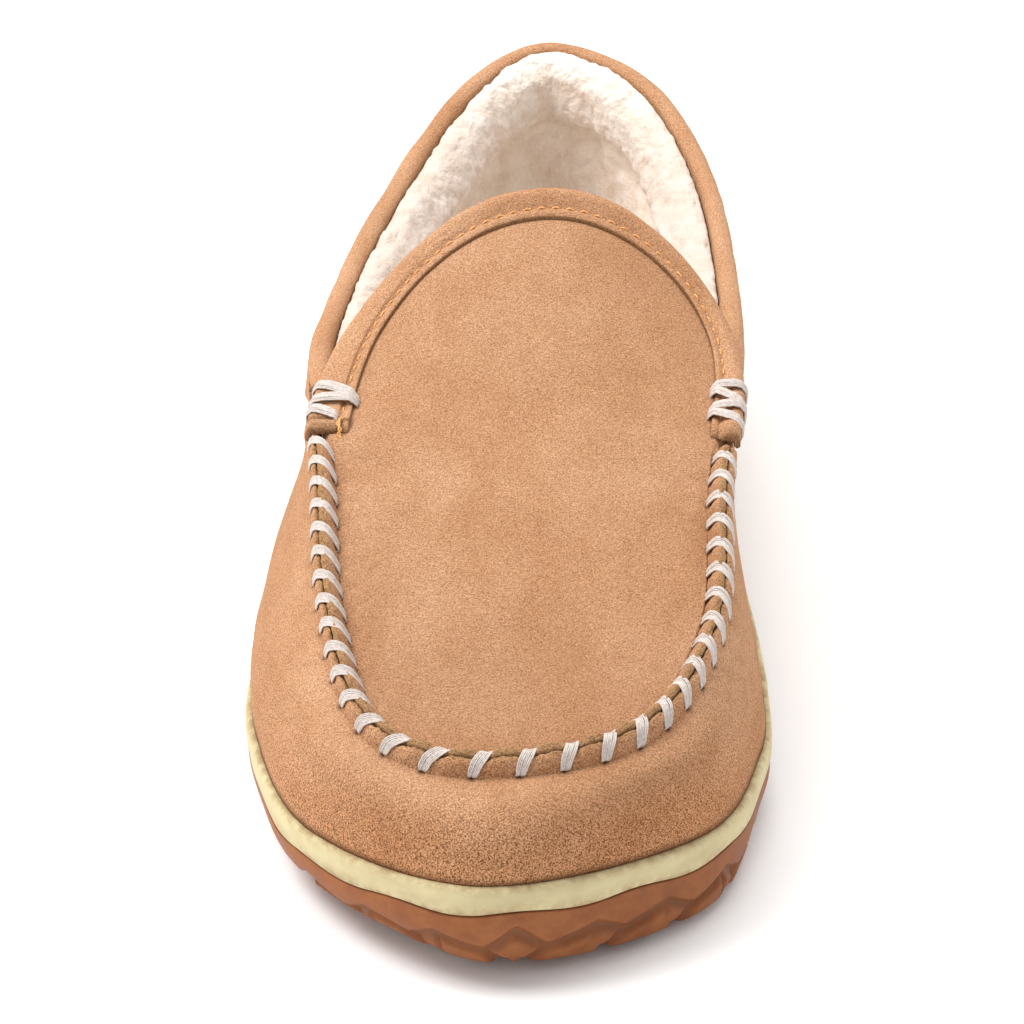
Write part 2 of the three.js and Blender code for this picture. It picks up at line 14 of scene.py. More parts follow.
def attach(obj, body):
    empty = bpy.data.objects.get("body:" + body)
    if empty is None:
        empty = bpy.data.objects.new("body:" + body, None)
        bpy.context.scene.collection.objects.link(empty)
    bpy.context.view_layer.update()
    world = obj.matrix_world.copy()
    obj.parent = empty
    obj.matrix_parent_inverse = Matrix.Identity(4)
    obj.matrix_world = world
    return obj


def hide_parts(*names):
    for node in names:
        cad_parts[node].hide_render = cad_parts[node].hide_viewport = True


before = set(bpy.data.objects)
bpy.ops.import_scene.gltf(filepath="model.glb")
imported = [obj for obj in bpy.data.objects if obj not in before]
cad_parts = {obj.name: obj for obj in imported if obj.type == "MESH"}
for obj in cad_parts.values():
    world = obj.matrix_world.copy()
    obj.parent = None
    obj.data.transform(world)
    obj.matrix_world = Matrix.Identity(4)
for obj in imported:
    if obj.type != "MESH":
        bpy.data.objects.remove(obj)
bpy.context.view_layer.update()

# ---- sizes --------------------
# In millimetres. A place t on the outline runs from 0 at the heel, along the outer side to 0.5 at the
# toe, and back along the inner side to 1. A place s on the throat runs from the inner end to the outer.
CENTRE = np.array([2.05, -1.0, 0.0])  # from the last's own origin to the shared frame
GAP = 0.3
OUTSOLE_EDGE = 11.0
MIDSOLE_TOE, MIDSOLE_HEEL = 6.0, 10.0
SPRING_BOTTOM, SPRING_TOP = 3.5, 7.0
TREAD = 3.0
LEDGE = 1.4
SUEDE = 1.8
FLANGE = 1.7
RIDGE = 4.2
BAND_INNER, BAND_OUTER = 8.8, 6.0
STITCHES = 32
LACE_WIDTH = 3.0
SIDE_LACE = 0.4  # how much narrower the lace pulls along the sides
LACE_RADIUS = 0.205
STRANDS = 7
RIDGE_START, RIDGE_END = 0.295, 0.6965
SEAM_OUTER, SEAM_INNER = 0.262, 0.738
TOE = 0.5
BINDING_END, LINING_END, ROLL_END = 0.267, 0.262, 0.235  # how far round from the heel each one goes
BAND_REST = 64.3  # height of the topline beside the band's ends
BAND_FOLD = 0.011  # place of the fold line near each end of the band
PILE_INSET, PAD_INSET = 8.4, 13.2  # of the footbed's pile and pad, from the sole's outline
THREAD_PITCH, THREAD_STITCH, THREAD_RADIUS = 3.1, 1.7, 0.24
SOLE_CENTRE = np.array([1.0, 0.0, 0.0])
APRON_CENTRE = np.array([-1.0, -58.0, 0.0])
DETAIL = 1.0  # share of the full mesh resolution


def lerp(a, b, s):
    return a + (b - a) * s


def smooth(x, low, high):
    s = np.clip((x - low) / (high - low), 0, 1)
    return s * s * (3 - 2 * s)


def within(t, start, end, fade):
    return smooth(t, start, start + fade) * (1 - smooth(t, end - fade, end))


def many(count):
    return max(8, int(round(count * DETAIL)))


def unit(v):
    return v / np.maximum(np.linalg.norm(v, axis=-1, keepdims=True), 1e-9)


def stack(*parts):
    return np.stack(np.broadcast_arrays(*parts), axis=-1)


def between(a, b, c, d, f):
    """Catmull-Rom, share f of the way from b to c."""
    return b + 0.5 * f * (c - a + f * (2 * a - 5 * b + 4 * c - d + f * (3 * (b - c) + d - a)))


def distances(path):
    """Distance along path at each of its points."""
    return np.concatenate([[0], np.cumsum(np.linalg.norm(np.diff(path, axis=0), axis=1))])


def ring_at(centre, edge, share, height):
    """A ring that share of the way from centre to edge, at the height worked out from its x and y."""
    ring = lerp(centre, edge, share)
    ring[:, 2] = height(ring[:, 0], ring[:, 1])
    return ring


class Curve:
    """A uniform Catmull-Rom curve through points, for arrays of places from 0 to 1."""

    def __init__(self, points, closed=False):
        p = np.array([(*q, 0.0)[:3] for q in points], float)
        self.closed = closed
        self.spans = len(p) if closed else len(p) - 1
        before, after = (p[-1:], p[:2]) if closed else (2 * p[:1] - p[1:2], 2 * p[-1:] - p[-2:-1])
        self.p = np.vstack([before, p, after])

    def __call__(self, t):
        t = np.asarray(t, float)
        u = (t % 1.0 if self.closed else np.clip(t, 0, 1)) * self.spans
        i = np.minimum(u.astype(int), self.spans - 1)
        f = (u - i)[..., None]
        return between(*(self.p[i + k] for k in range(4)), f)


sole_line = Curve([
    (3, 145), (29, 128), (41, 90), (40.5, 35), (48.5, -20), (52.5, -61), (51.3, -88), (38.3, -121.7),
    (-3.6, -145.2), (-38.9, -124), (-54.1, -86.4), (-56.5, -54.3), (-48, -8), (-38.9, 40), (-34, 92),
    (-24, 130),
], closed=True)
top_line = Curve([
    (1.1, 143.2, 73.9), (26.0, 127.2, 70), (39.7, 90.3, 63), (44.7, 34.9, 62), (44.2, -14.2, 64.5),
    (40.9, -56.1, 62.5), (38.9, -94.1, 50), (23.5, -122.1, 43.5), (-7.5, -129.4, 41), (-26.8, -119.7, 43.5),
    (-36.4, -92, 52), (-41.2, -51.7, 63.5), (-46.1, -9.9, 64.5), (-43.9, 35, 62), (-33.9, 90.2, 63),
    (-18.4, 129.2, 70),
], closed=True)
throat_line = Curve([
    (-45, -45), (-43.6, -31.5), (-40, -19.3), (-33.9, -9.5), (-25, -1.2), (-12.5, 5.3), (1.8, 8.6),
    (15.4, 8.4), (28.7, 4.7), (38.6, -2.6), (44.3, -14.3), (45.8, -29), (44.6, -45),
])
crest_line = Curve([(-128, 41.5), (-100, 50.5), (-70, 61), (-40, 72.5), (-10, 87.5), (10, 98), (30, 107)])
edge_line = Curve([(-128, 41.5), (-100, 49.5), (-70, 58.5), (-56, 62.3), (-46, 66.5), (-30, 69.5),
                   (-10, 73), (10, 76), (30, 78)])


# ---- the last --------------------
def height_along(curve, y):
    p = curve(np.linspace(0, 1, 600))
    return np.interp(y, p[:, 0], p[:, 1])


def dome(x, y):
    """Height of the apron's domed surface."""
    crest = height_along(crest_line, y)
    return crest - (crest - height_along(edge_line, y)) * (np.abs(x) / 44) ** 2.2


def toe_share(y):
    return np.clip((-y - 70) / 75, 0, 1) ** 2


def tread_z(y):
    return SPRING_BOTTOM * toe_share(y) + 2 * np.clip((y - 105) / 40, 0, 1) ** 2


def rubber_z(y):
    return OUTSOLE_EDGE + SPRING_TOP * toe_share(y)


def foot_z(y):
    return rubber_z(y) + lerp(MIDSOLE_TOE, MIDSOLE_HEEL, smooth(y, -60, 90))


def outward(t):
    along = sole_line(t + 0.002) - sole_line(t - 0.002)
    return unit(stack(-along[..., 1], along[..., 0], 0 * along[..., 0]))


def outline(t, inset):
    return sole_line(t) - outward(t) * np.asarray(inset)[..., None]


def ridge_share(t):
    return within(t, RIDGE_START, RIDGE_END, 0.006)


def toe_wrap(t):
    return 1 - smooth(np.abs(t % 1.0 - TOE), 0.06, 0.24)


def outer_share(t):
    return within(t % 1.0, 0.04, TOE, 0.12)


def inner_waist(t):
    return within(t % 1.0, 0.687, 0.97, 0.07)


def heel_shrink(t):
    return 1 - smooth(np.abs((t + 0.5) % 1.0 - 0.5), 0.02, 0.16)


def band_width(s):
    return lerp(BAND_INNER, BAND_OUTER, smooth(s, 0, 0.5))


def undercut(t):
    """How far the tread's edge is tucked in: more on the inner side of the toe than on the outer."""
    return 3.5 - 2.5 * within(t % 1.0, 0.36, TOE, 0.05) + 3 * within(t % 1.0, 0.488, 0.72, 0.06)


def up(z):
    return stack(0 * z, 0 * z, z)


def wall(t, rise):
    """The side wall, from the sole (rise 0) to its top edge (rise 1)."""
    t, rise = np.broadcast_arrays(np.asarray(t, float), np.asarray(rise, float))
    out = outward(t)
    wrap = toe_wrap(t)
    low = outline(t, LEDGE)
    low[..., 2] = foot_z(low[..., 1]) + GAP
    flare = within(t % 1.0, RIDGE_START - 0.03, RIDGE_END + 0.03, 0.035)
    high = top_line(t) + out * ((FLANGE + GAP / 2) * flare)[..., None]
    tall = high[..., 2] - low[..., 2]
    inner_belly, inner_shoulder = lerp(2.5, 1.5, inner_waist(t)), lerp(5.2, 1.2, inner_waist(t))
    belly_out = lerp(lerp(inner_belly, -5.0, outer_share(t)), 0.5, wrap)
    shoulder_out = lerp(lerp(inner_shoulder, -0.5, outer_share(t)), 9.5, wrap)
    belly = low + out * belly_out[..., None] + up(tall * lerp(0.35, 0.6, wrap))
    shoulder = high + out * shoulder_out[..., None] - up(tall * lerp(0.35, 0.06, wrap))
    s = rise[..., None]
    return (1 - s) ** 3 * low + 3 * s * (1 - s) ** 2 * belly + 3 * s * s * (1 - s) * shoulder + s ** 3 * high


def wall_normal(t, rise):
    """Away from the foot."""
    along = wall(t + 0.004, rise) - wall(t - 0.004, rise)
    climb = wall(t, np.minimum(1, rise + 0.03)) - wall(t, np.maximum(0, rise - 0.03))
    return unit(np.cross(climb, along))


def layer(t, rise, depth):
    """The wall moved towards the foot."""
    t, rise, depth = np.broadcast_arrays(t, rise, depth)
    return wall(t, rise) - wall_normal(t, rise) * depth[..., None]


def throat(s, e, z):
    """A place along the throat, e outwards from the band's edge and z above the dome."""
    s, e, z = np.broadcast_arrays(np.asarray(s, float), np.asarray(e, float), np.asarray(z, float))
    d = throat_line(np.minimum(1, s + 0.004)) - throat_line(np.maximum(0, s - 0.004))
    p = throat_line(s) + unit(stack(-d[..., 1], d[..., 0], 0 * s)) * e[..., None]
    p[..., 2] = dome(p[..., 0], p[..., 1]) + z
    return p


def off_top(t, across, z):
    """A place across the topline, outwards, and above it."""
    return top_line(t) + outward(t) * np.asarray(across)[..., None] + up(z + 0 * np.asarray(t))


def through(rows, count):
    """A grid of columns, each a smooth curve of count points through the rows' points."""
    p = np.stack(np.broadcast_arrays(*rows))
    p = np.concatenate([2 * p[:1] - p[1:2], p, 2 * p[-1:] - p[-2:-1]])
    u = np.linspace(0, len(rows) - 1, count)
    i = np.minimum(u.astype(int), len(rows) - 2)
    f = (u - i)[:, None, None]
    return np.swapaxes(between(*(p[i + k] for k in range(4)), f), 0, 1)


def seam_places():
    """Where each whip stitch comes out of its outer hole, wider apart round the toe."""
    t = np.linspace(RIDGE_START + 0.003, RIDGE_END - 0.003, 2000)
    spacing = 1 + 0.3 * (1 - smooth(np.abs(t - TOE), 0.02, 0.09))
    steps = np.linalg.norm(np.diff(top_line(t), axis=0), axis=1) / spacing[1:]
    run = np.concatenate([[0], np.cumsum(steps)])
    return np.interp(np.linspace(0, run[-1], STITCHES + 1), run, t)


PLACES = seam_places()


def stitch_phase(t):
    """How many stitches lie before place t."""
    ends = np.concatenate([[2 * PLACES[0] - PLACES[1]], PLACES, [2 * PLACES[-1] - PLACES[-2]]])
    return np.interp(t, ends, np.arange(-1, STITCHES + 2))


def puff(t, slant):
    """1 between two stitches and 0 under one. slant is how far the lace has gone back there."""
    wave = 0.5 - 0.5 * np.cos(2 * math.pi * (stitch_phase(t) + slant))
    return wave ** 0.7 * ridge_share(t)


# ---- random surfaces --------------------
def scatter(cell, salt):
    """A random number from 0 to 1 for each whole-number cell."""
    c = cell.astype(np.int64)
    h = c[..., 0] * 73856093 ^ c[..., 1] * 19349663 ^ c[..., 2] * 83492791 ^ salt * 2654435761
    h = (h ^ (h >> 13)) * 1274126177 & 0x7FFFFFFF
    h = (h ^ (h >> 11)) * 668265263 & 0x7FFFFFFF
    return ((h >> 7) & 0xFFFF) / 65535.0


def noise(p, size, salt=1):
    """Smooth random values from -1 to 1, with features about size across."""
    q = p / size
    base = np.floor(q)
    f = q - base
    f = f * f * (3 - 2 * f)
    total = np.zeros(p.shape[:-1])
    for corner in itertools.product((0, 1), repeat=3):
        weight = np.prod(np.where(np.array(corner) == 1, f, 1 - f), axis=-1)
        total += weight * scatter(base + corner, salt)
    return 2 * total - 1


def lumps(p, size, salt=1):
    """Rounded lumps about size across: 1 at a lump's middle, 0 in the creases."""
    q = p / size
    base = np.floor(q)
    nearest = np.full(p.shape[:-1], 9.0)
    for step in itertools.product((-1, 0, 1), repeat=3):
        cell = base + step
        point = cell + stack(*(scatter(cell, salt + k) for k in range(3)))
        nearest = np.minimum(nearest, ((q - point) ** 2).sum(axis=-1))
    return np.clip(1 - nearest / 0.8, 0, 1)


# ---- meshes --------------------
def make_piece(name, points, faces, look, replaces, masks=None):
    mesh = bpy.data.meshes.new(name)
    mesh.from_pydata(((points + CENTRE) / 1000).tolist(), [], faces)
    for key, values in (masks or {}).items():
        attribute = mesh.attributes.new(key, "FLOAT", "POINT")
        attribute.data.foreach_set("value", np.ravel(values).astype(np.float32))
    mesh.shade_smooth()
    mesh.materials.append(look)
    piece = bpy.data.objects.new(name, mesh)
    bpy.context.scene.collection.objects.link(piece)
    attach(piece, "root")
    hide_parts(*replaces)
    return piece


def loft_faces(n, m):
    """Faces over n loops of m points, with a fan-free ladder across each end."""
    i, j = np.meshgrid(np.arange(n - 1), np.arange(m), indexing="ij")
    a, d = i * m + j, i * m + (j + 1) % m
    faces = np.stack([a, a + m, d + m, d], axis=-1).reshape(-1, 4).tolist()
    for start, flip in ((0, False), ((n - 1) * m, True)):
        for k in range(m // 2 - 1):
            quad = [start + k, start + k + 1, start + m - 2 - k, start + m - 1 - k]
            faces.append(quad[::-1] if flip else quad)
    return faces


def turned(points, faces):
    """The faces, facing out."""
    a, b, c, d = points[np.array(faces)].swapaxes(0, 1)
    volume = (a * np.cross(b, c)).sum() + (a * np.cross(c, d)).sum()
    return faces if volume > 0 else [f[::-1] for f in faces]


def loft(name, loops, look, replaces, masks=None):
    """A closed piece from loops of points, each joined to the next."""
    n, m = loops.shape[:2]
    points = loops.reshape(-1, 3)
    return make_piece(name, points, turned(points, loft_faces(n, m)), look, replaces, masks)


def sheet(name, outer, inner, look, replaces, masks):
    """A closed skin between two grids of columns. A mask is the same on both."""
    loops = np.concatenate([outer, inner[:, ::-1]], axis=1)
    full = {k: np.concatenate([v, v[:, ::-1]], axis=1) for k, v in masks.items()}
    return loft(name, loops, look, replaces, full)


def suede_masks(like, **given):
    """The suede's four masks, 0 where one isn't given."""
    return {key: given.get(key, 0 * like) for key in ("raw", "worn", "hole", "rough")}


def several(name, solids, look, replaces):
    """One piece from many closed lofts of loops."""
    points, faces = [], []
    count = 0
    for loops in solids:
        n, m = loops.shape[:2]
        flat = loops.reshape(-1, 3)
        faces += [[q + count for q in f] for f in turned(flat, loft_faces(n, m))]
        points.append(flat)
        count += len(flat)
    return make_piece(name, np.concatenate(points), faces, look, replaces)


# ---- materials --------------------
class Look:
    """A procedural material on object coordinates."""

    def __init__(self, name, roughness, specular=0.5, sheen=0.0, sheen_tint=(1, 1, 1)):
        self.material = bpy.data.materials.new(name)
        self.material.use_nodes = True
        self.tree = self.material.node_tree
        self.shader = self.tree.nodes["Principled BSDF"]
        self.place = self.node("ShaderNodeTexCoord").outputs["Object"]
        self.shader.inputs["Roughness"].default_value = roughness
        self.shader.inputs["Specular IOR Level"].default_value = specular
        self.shader.inputs["Sheen Weight"].default_value = sheen
        self.shader.inputs["Sheen Roughness"].default_value = 0.6
        self.shader.inputs["Sheen Tint"].default_value = (*sheen_tint, 1)

    def node(self, kind, **settings):
        node = self.tree.nodes.new(kind)
        for key, value in settings.items():
            setattr(node, key, value)
        return node

    def join(self, source, target):
        self.tree.links.new(source, target)

    def grain(self, size, detail=2.0, roughness=0.55, stretch=None):
        """Noise from 0 to 1 with features about size millimetres across."""
        place = self.place
        if stretch:
            mapping = self.node("ShaderNodeMapping")
            mapping.inputs["Scale"].default_value = stretch
            self.join(place, mapping.inputs["Vector"])
            place = mapping.outputs["Vector"]
        node = self.node("ShaderNodeTexNoise")
        node.inputs["Scale"].default_value = 1000 / size
        node.inputs["Detail"].default_value = detail
        node.inputs["Roughness"].default_value = roughness
        self.join(place, node.inputs["Vector"])
        return node.outputs["Fac"]

    def mask(self, name):
        return self.node("ShaderNodeAttribute", attribute_name=name).outputs["Fac"]

    def ramp(self, source, stops):
        node = self.node("ShaderNodeValToRGB")
        band = node.color_ramp
        while len(band.elements) < len(stops):
            band.elements.new(0.5)
        for element, (at, colour) in zip(band.elements, stops):
            element.position = at
            element.color = (*colour, 1)
        self.join(source, node.inputs["Fac"])
        return node.outputs["Color"]

    def mix(self, share, a, b, kind="MIX"):
        node = self.node("ShaderNodeMix", data_type="RGBA", blend_type=kind)
        for value, socket in ((share, node.inputs[0]), (a, node.inputs[6]), (b, node.inputs[7])):
            if isinstance(value, bpy.types.NodeSocket):
                self.join(value, socket)
            else:
                socket.default_value = value if isinstance(value, float) else (*value, 1)
        return node.outputs[2]

    def span(self, source, low, high, to_low=0.0, to_high=1.0):
        node = self.node("ShaderNodeMapRange")
        for key, value in (("From Min", low), ("From Max", high), ("To Min", to_low), ("To Max", to_high)):
            node.inputs[key].default_value = value
        self.join(source, node.inputs["Value"])
        return node.outputs["Result"]

    def finish(self, colour, heights):
        """heights are (source, depth in millimetres) pairs, coarse to fine."""
        self.join(colour, self.shader.inputs["Base Color"])
        normal = None
        for source, depth in heights:
            bump = self.node("ShaderNodeBump")
            bump.inputs["Distance"].default_value = depth / 1000
            bump.inputs["Strength"].default_value = 1.0
            self.join(source, bump.inputs["Height"])
            if normal:
                self.join(normal, bump.inputs["Normal"])
            normal = bump.outputs["Normal"]
        if normal:
            self.join(normal, self.shader.inputs["Normal"])
        return self.material


def suede_look(name, dark, light, raw):
    """Napped suede. Masks: raw is a cut edge; the second darkens the nap, in patches on the apron and along
    the sole, and as painted shade in the band's groove and folds; the third is a painted shadow at a lace
    hole; and the last is where the nap is raised and coarse, and there the suede is also painted darker as
    shade."""
    look = Look(name, roughness=0.95, specular=0.06, sheen=0.1, sheen_tint=light)
    shade = lambda share: tuple(np.array(dark) * (1 - share) + np.array(light) * share)
    nap = look.grain(0.32, detail=2, roughness=0.6)
    coarse_nap = look.grain(0.3, detail=2, roughness=0.55)
    tuft = look.grain(1.0, detail=2)
    brush = look.grain(9, detail=3, stretch=(1, 0.45, 1))
    cloud = look.grain(34, detail=3)
    fine = look.ramp(nap, [(0.33, shade(0.25)), (0.44, shade(0.53)), (0.55, shade(0.73)), (0.67, light)])
    times = lambda colour, factor: tuple(np.array(colour) * factor)
    coarse = look.ramp(coarse_nap, [(0.36, times(dark, 0.8)), (0.45, shade(0.38)), (0.52, shade(0.68)),
                                    (0.58, times(light, 1.08))])
    napped = look.mix(look.mask("rough"), fine, coarse)
    brushed = look.mix(look.span(tuft, 0.36, 0.68, 0.0, 0.13), napped, shade(0.15))
    streaked = look.mix(look.span(brush, 0.38, 0.68, 0.0, 0.55), brushed, (0.84, 0.76, 0.67), "MULTIPLY")
    clouded = look.mix(look.span(cloud, 0.38, 0.62, 0.0, 0.6), streaked, (0.84, 0.75, 0.66), "MULTIPLY")
    # Painted shade: the coarse suede low down towards the toe made darker and more saturated.
    coarse_shaded = look.mix(look.span(look.mask("rough"), 0.4, 1.0), clouded, (0.96, 0.87, 0.78), "MULTIPLY")
    # Darker nap: patches on the apron and a band along the sole, and painted shade in the throat band's
    # groove and folds.
    worn = look.mix(look.mask("worn"), coarse_shaded, times(dark, 0.6))
    fuzz = look.ramp(nap, [(0.36, times(raw, 0.35)), (0.5, times(raw, 0.8)), (0.64, raw)])
    edged = look.mix(look.mask("raw"), worn, fuzz)
    # Painted shadow at the lace holes, near black.
    colour = look.mix(look.mask("hole"), edged, (0.02, 0.008, 0.004))
    return look.finish(colour, [(tuft, 0.16), (nap, 0.28)])


def fleece_look():
    """Curly pile. Two masks of painted shade: the first darkens the pile in the creases between curls and in
    the recesses inside the shoe, and roll greys the pile of the padded roll, most at its sides."""
    look = Look("fleece", roughness=1.0, specular=0.05, sheen=0.4, sheen_tint=(1, 0.97, 0.93))
    fibre = look.grain(0.9, detail=3, roughness=0.7)
    tone = look.grain(7, detail=3)
    pile = look.ramp(fibre, [(0.3, (0.93, 0.83, 0.73)), (0.7, (0.98, 0.92, 0.85))])
    shaded = look.mix(look.span(tone, 0.38, 0.66, 0.0, 0.65), pile, (0.86, 0.77, 0.69), "MULTIPLY")
    # Painted shade: the roll's pile greyed, most at its sides.
    roll_shaded = look.mix(look.mask("roll"), shaded, (0.69, 0.64, 0.62), "MULTIPLY")
    # Painted shade in the creases between curls and in recesses.
    colour = look.mix(look.mask("pile_shade"), roll_shaded, (0.66, 0.49, 0.37))
    return look.finish(colour, [(look.grain(2.2, detail=2), 0.5), (fibre, 0.5)])


def foam_look():
    """Closed-cell foam with a moulded skin. The mask grime is 1 where dust has settled."""
    look = Look("midsole_foam", roughness=0.62, specular=0.3)
    skin = look.grain(1.1, detail=3)
    blotch = look.grain(14, detail=3, stretch=(1, 1, 3))
    base = look.ramp(blotch, [(0.35, (0.53, 0.44, 0.245)), (0.65, (0.62, 0.535, 0.305))])
    streak = look.grain(3.0, detail=4, roughness=0.7)
    dusty = look.span(streak, 0.38, 0.62)
    dirt = look.node("ShaderNodeMath", operation="MULTIPLY")
    look.join(look.mask("grime"), dirt.inputs[0])
    look.join(dusty, dirt.inputs[1])
    colour = look.mix(dirt.outputs[0], base, (0.30, 0.18, 0.08))
    return look.finish(colour, [(skin, 0.06)])


def rubber_look():
    """Gum rubber. The mask groove is 1 down in the pattern, where the rubber is painted darker as shade, and
    raised parts carry a pale bloom.
    """
    look = Look("gum_rubber", roughness=0.5, specular=0.25)
    bloom = look.grain(5, detail=4, roughness=0.65)
    cast = look.grain(0.7, detail=2)
    base = look.ramp(bloom, [(0.35, (0.225, 0.066, 0.016)), (0.62, (0.29, 0.095, 0.027))])
    dusted = look.mix(look.span(bloom, 0.5, 0.8, 0.0, 0.3), base, (0.34, 0.145, 0.055))
    # Painted shade: darker rubber down in the grooves.
    colour = look.mix(look.mask("groove"), dusted, (0.15, 0.055, 0.024))
    look.join(look.span(bloom, 0.3, 0.7, 0.42, 0.66), look.shader.inputs["Roughness"])
    return look.finish(colour, [(cast, 0.05)])


def fibre_look(name, dark, light, size, roughness, specular):
    look = Look(name, roughness=roughness, specular=specular, sheen=0.15, sheen_tint=light)
    fine = look.grain(size, detail=2)
    colour = look.ramp(fine, [(0.35, dark), (0.65, light)])
    return look.finish(colour, [(fine, 0.06)])


SUEDE_LOOK = suede_look("suede", (0.17, 0.068, 0.026), (0.69, 0.403, 0.236), (0.40, 0.225, 0.105))
FLEECE_LOOK = fleece_look()
FOAM_LOOK = foam_look()
RUBBER_LOOK = rubber_look()
LACE_LOOK = fibre_look("waxed_lace", (0.48, 0.42, 0.38), (0.62, 0.55, 0.505), 0.6, 0.5, 0.3)
THREAD_LOOK = fibre_look("thread", (0.52, 0.23, 0.07), (0.80, 0.42, 0.15), 0.4, 0.5, 0.4)
BOARD_LOOK = fibre_look("pressed_board", (0.36, 0.25, 0.15), (0.52, 0.39, 0.25), 0.8, 0.9, 0.2)
PAD_LOOK = fibre_look("padding_foam", (0.72, 0.60, 0.24), (0.85, 0.75, 0.38), 1.2, 0.95, 0.1)


# ---- sole --------------------
LUG_PITCH = 17.0
WAVE_PITCH = 26.0
LUG_SHIFT = 6.5  # the pattern's middle lies this far towards the outer side of the toe
LUG_ROUTE = [(0.0, 0.33), (0.38, 0.70), (1.0, 0.42)]  # the wall groove over one pitch: share, drop


def sole_run(t):
    """Distance along the outline from the pattern's middle, positive on the outer side."""
    grid = np.linspace(0, 1, 2001)
    run = distances(sole_line(grid))
    return np.interp(TOE, grid, run) - np.interp(t % 1.0, grid, run) - LUG_SHIFT


def segment_distance(px, py, a, b):
    ax, ay = a
    bx, by = b
    length = (bx - ax) ** 2 + (by - ay) ** 2
    s = np.clip(((px - ax) * (bx - ax) + (py - ay) * (by - ay)) / length, 0, 1)
    return np.hypot(px - ax - s * (bx - ax), py - ay - s * (by - ay))


def lug_groove(run, drop):
    """How deep in a groove of the wall's pattern each place is. drop is 0 at the rubber's top edge."""
    tall = 12.0
    along = np.abs(run)
    block = np.floor(along / LUG_PITCH)
    u = along - block * LUG_PITCH
    v = drop * tall
    peak, valley, far = [(s * LUG_PITCH, d * tall) for s, d in LUG_ROUTE]
    start = (0.0, np.where(block == 0, peak[1], far[1]))
    foot = (0.1 * LUG_PITCH, 1.05 * tall)
    near = segment_distance(u, v, start, valley)
    near = np.minimum(near, segment_distance(u, v, valley, far))
    near = np.minimum(near, segment_distance(u, v, valley, foot))
    near = np.minimum(near, segment_distance(u, v, far, (1.1 * LUG_PITCH, 1.05 * tall)))
    return 1 - smooth(near, 0.3, 1.9)


def wave(t):
    """The gentle rise and fall of the rubber's top edge, a peak over each lug."""
    return 0.5 * np.cos(2 * math.pi * sole_run(t) / WAVE_PITCH)


def tread_bar(x, y):
    """1 on a chevron of the tread, 0 between two."""
    along = (y - 0.22 * np.abs(x)) / 9.5
    bar = np.abs(along - np.round(along))
    return 1 - smooth(bar, 0.3, 0.38)


def outsole():
    t = np.linspace(0, 1, many(1000), endpoint=False)[:, None]
    y = sole_line(t)[..., 1]
    run = sole_run(t)
    drop = np.linspace(0.0, 1.0, many(44))[None, :]
    top = rubber_z(y) + wave(t) - 0.2
    bottom = tread_z(y)
    groove = lug_groove(run, drop) * smooth(drop, 0.12, 0.24)
    notch = 1 - smooth(np.abs(np.abs(run) % LUG_PITCH - 0.1 * LUG_PITCH), 0.1, 1.7)
    scallop = smooth(drop, 0.8, 1.0) * notch
    tuck = (undercut(t) + 1.2 - 1.4 * within(t, 0.38, 0.53, 0.05)) * drop ** 1.9
    crown = 0.45 * np.sin(math.pi * np.clip(drop / 0.9, 0, 1))
    inset = 0.35 + tuck + 1.3 * groove - crown + 1.1 * scallop + 0.8 * smooth(drop, 0.93, 1.0)
    side = outline(t + 0 * drop, inset)
    side[..., 2] = lerp(top, bottom, drop) + 0.8 * scallop + 0.25 * groove
    under = []
    for share in np.linspace(0.985, 0.03, many(50)):
        rim = smooth(share, 0.955, 0.985)
        lug = lambda x, y: tread_z(y) + TREAD * (1 - np.maximum(tread_bar(x, y), rim))
        under.append(ring_at(SOLE_CENTRE, side[:, -1], share, lug))
    over = [ring_at(SOLE_CENTRE, outline(t[:, 0], 1.0), share, lambda x, y: rubber_z(y) - 0.8)
            for share in (0.05, 0.5, 0.9)]
    loops = np.stack([*over, *np.moveaxis(side, 1, 0), *under])
    flat = 0 * t[:, 0]
    # Painted shade down in the wall's grooves.
    groove_shade = np.stack([flat] * len(over) + list((groove ** 1.5 * 0.6).T) + [flat] * len(under))
    loft("outsole_rubber", loops, RUBBER_LOOK, ["outsole"], {"groove": groove_shade})


def midsole():
    t = np.linspace(0, 1, many(1100), endpoint=False)
    y = sole_line(t)[:, 1]
    low = rubber_z(y) + wave(t)
    high = foot_z(y)
    section = [  # inset, share of the height, grime
        (3.0, 0.02, 0.2), (0.75, 0.0, 0.6), (0.4, 0.02, 0.9), (0.2, 0.10, 0.7), (0.02, 0.25, 0.35),
        (-0.05, 0.45, 0.12), (0.0, 0.68, 0.06), (0.1, 0.84, 0.2), (0.35, 0.94, 0.45), (0.8, 1.0, 0.7),
        (1.3, 1.01, 0.7), (1.8, 0.99, 1.0), (2.6, 0.96, 1.0), (8.0, 0.96, 1.0),
    ]
    fine = np.linspace(0, len(section) - 1, many(44))
    inset, share, grime = (np.interp(fine, range(len(section)), column) for column in zip(*section))
    loops = [ring_at(SOLE_CENTRE, outline(t, 3.0), scale, lambda x, y: rubber_z(y)) for scale in (0.05, 0.5)]
    for i, s in zip(inset, share):
        ring = outline(t, i + 0 * t)
        ring += outward(t) * (0.12 * noise(ring, 9.0, 3))[:, None]
        ring[:, 2] = lerp(low, high, s)
        loops.append(ring)
    loops += [ring_at(SOLE_CENTRE, outline(t, 8.0), scale, lambda x, y: foot_z(y) - 0.3)
              for scale in (0.5, 0.05)]
    dirt = np.concatenate([[0, 0], grime, [1, 1]])
    loft("midsole_band", np.stack(loops), FOAM_LOOK, ["midsole"],
         {"grime": np.repeat(dirt[:, None], len(t), axis=1)})


# ---- suede upper --------------------
def seam_outer(rise):
    return SEAM_OUTER - 0.03 * (1 - rise)


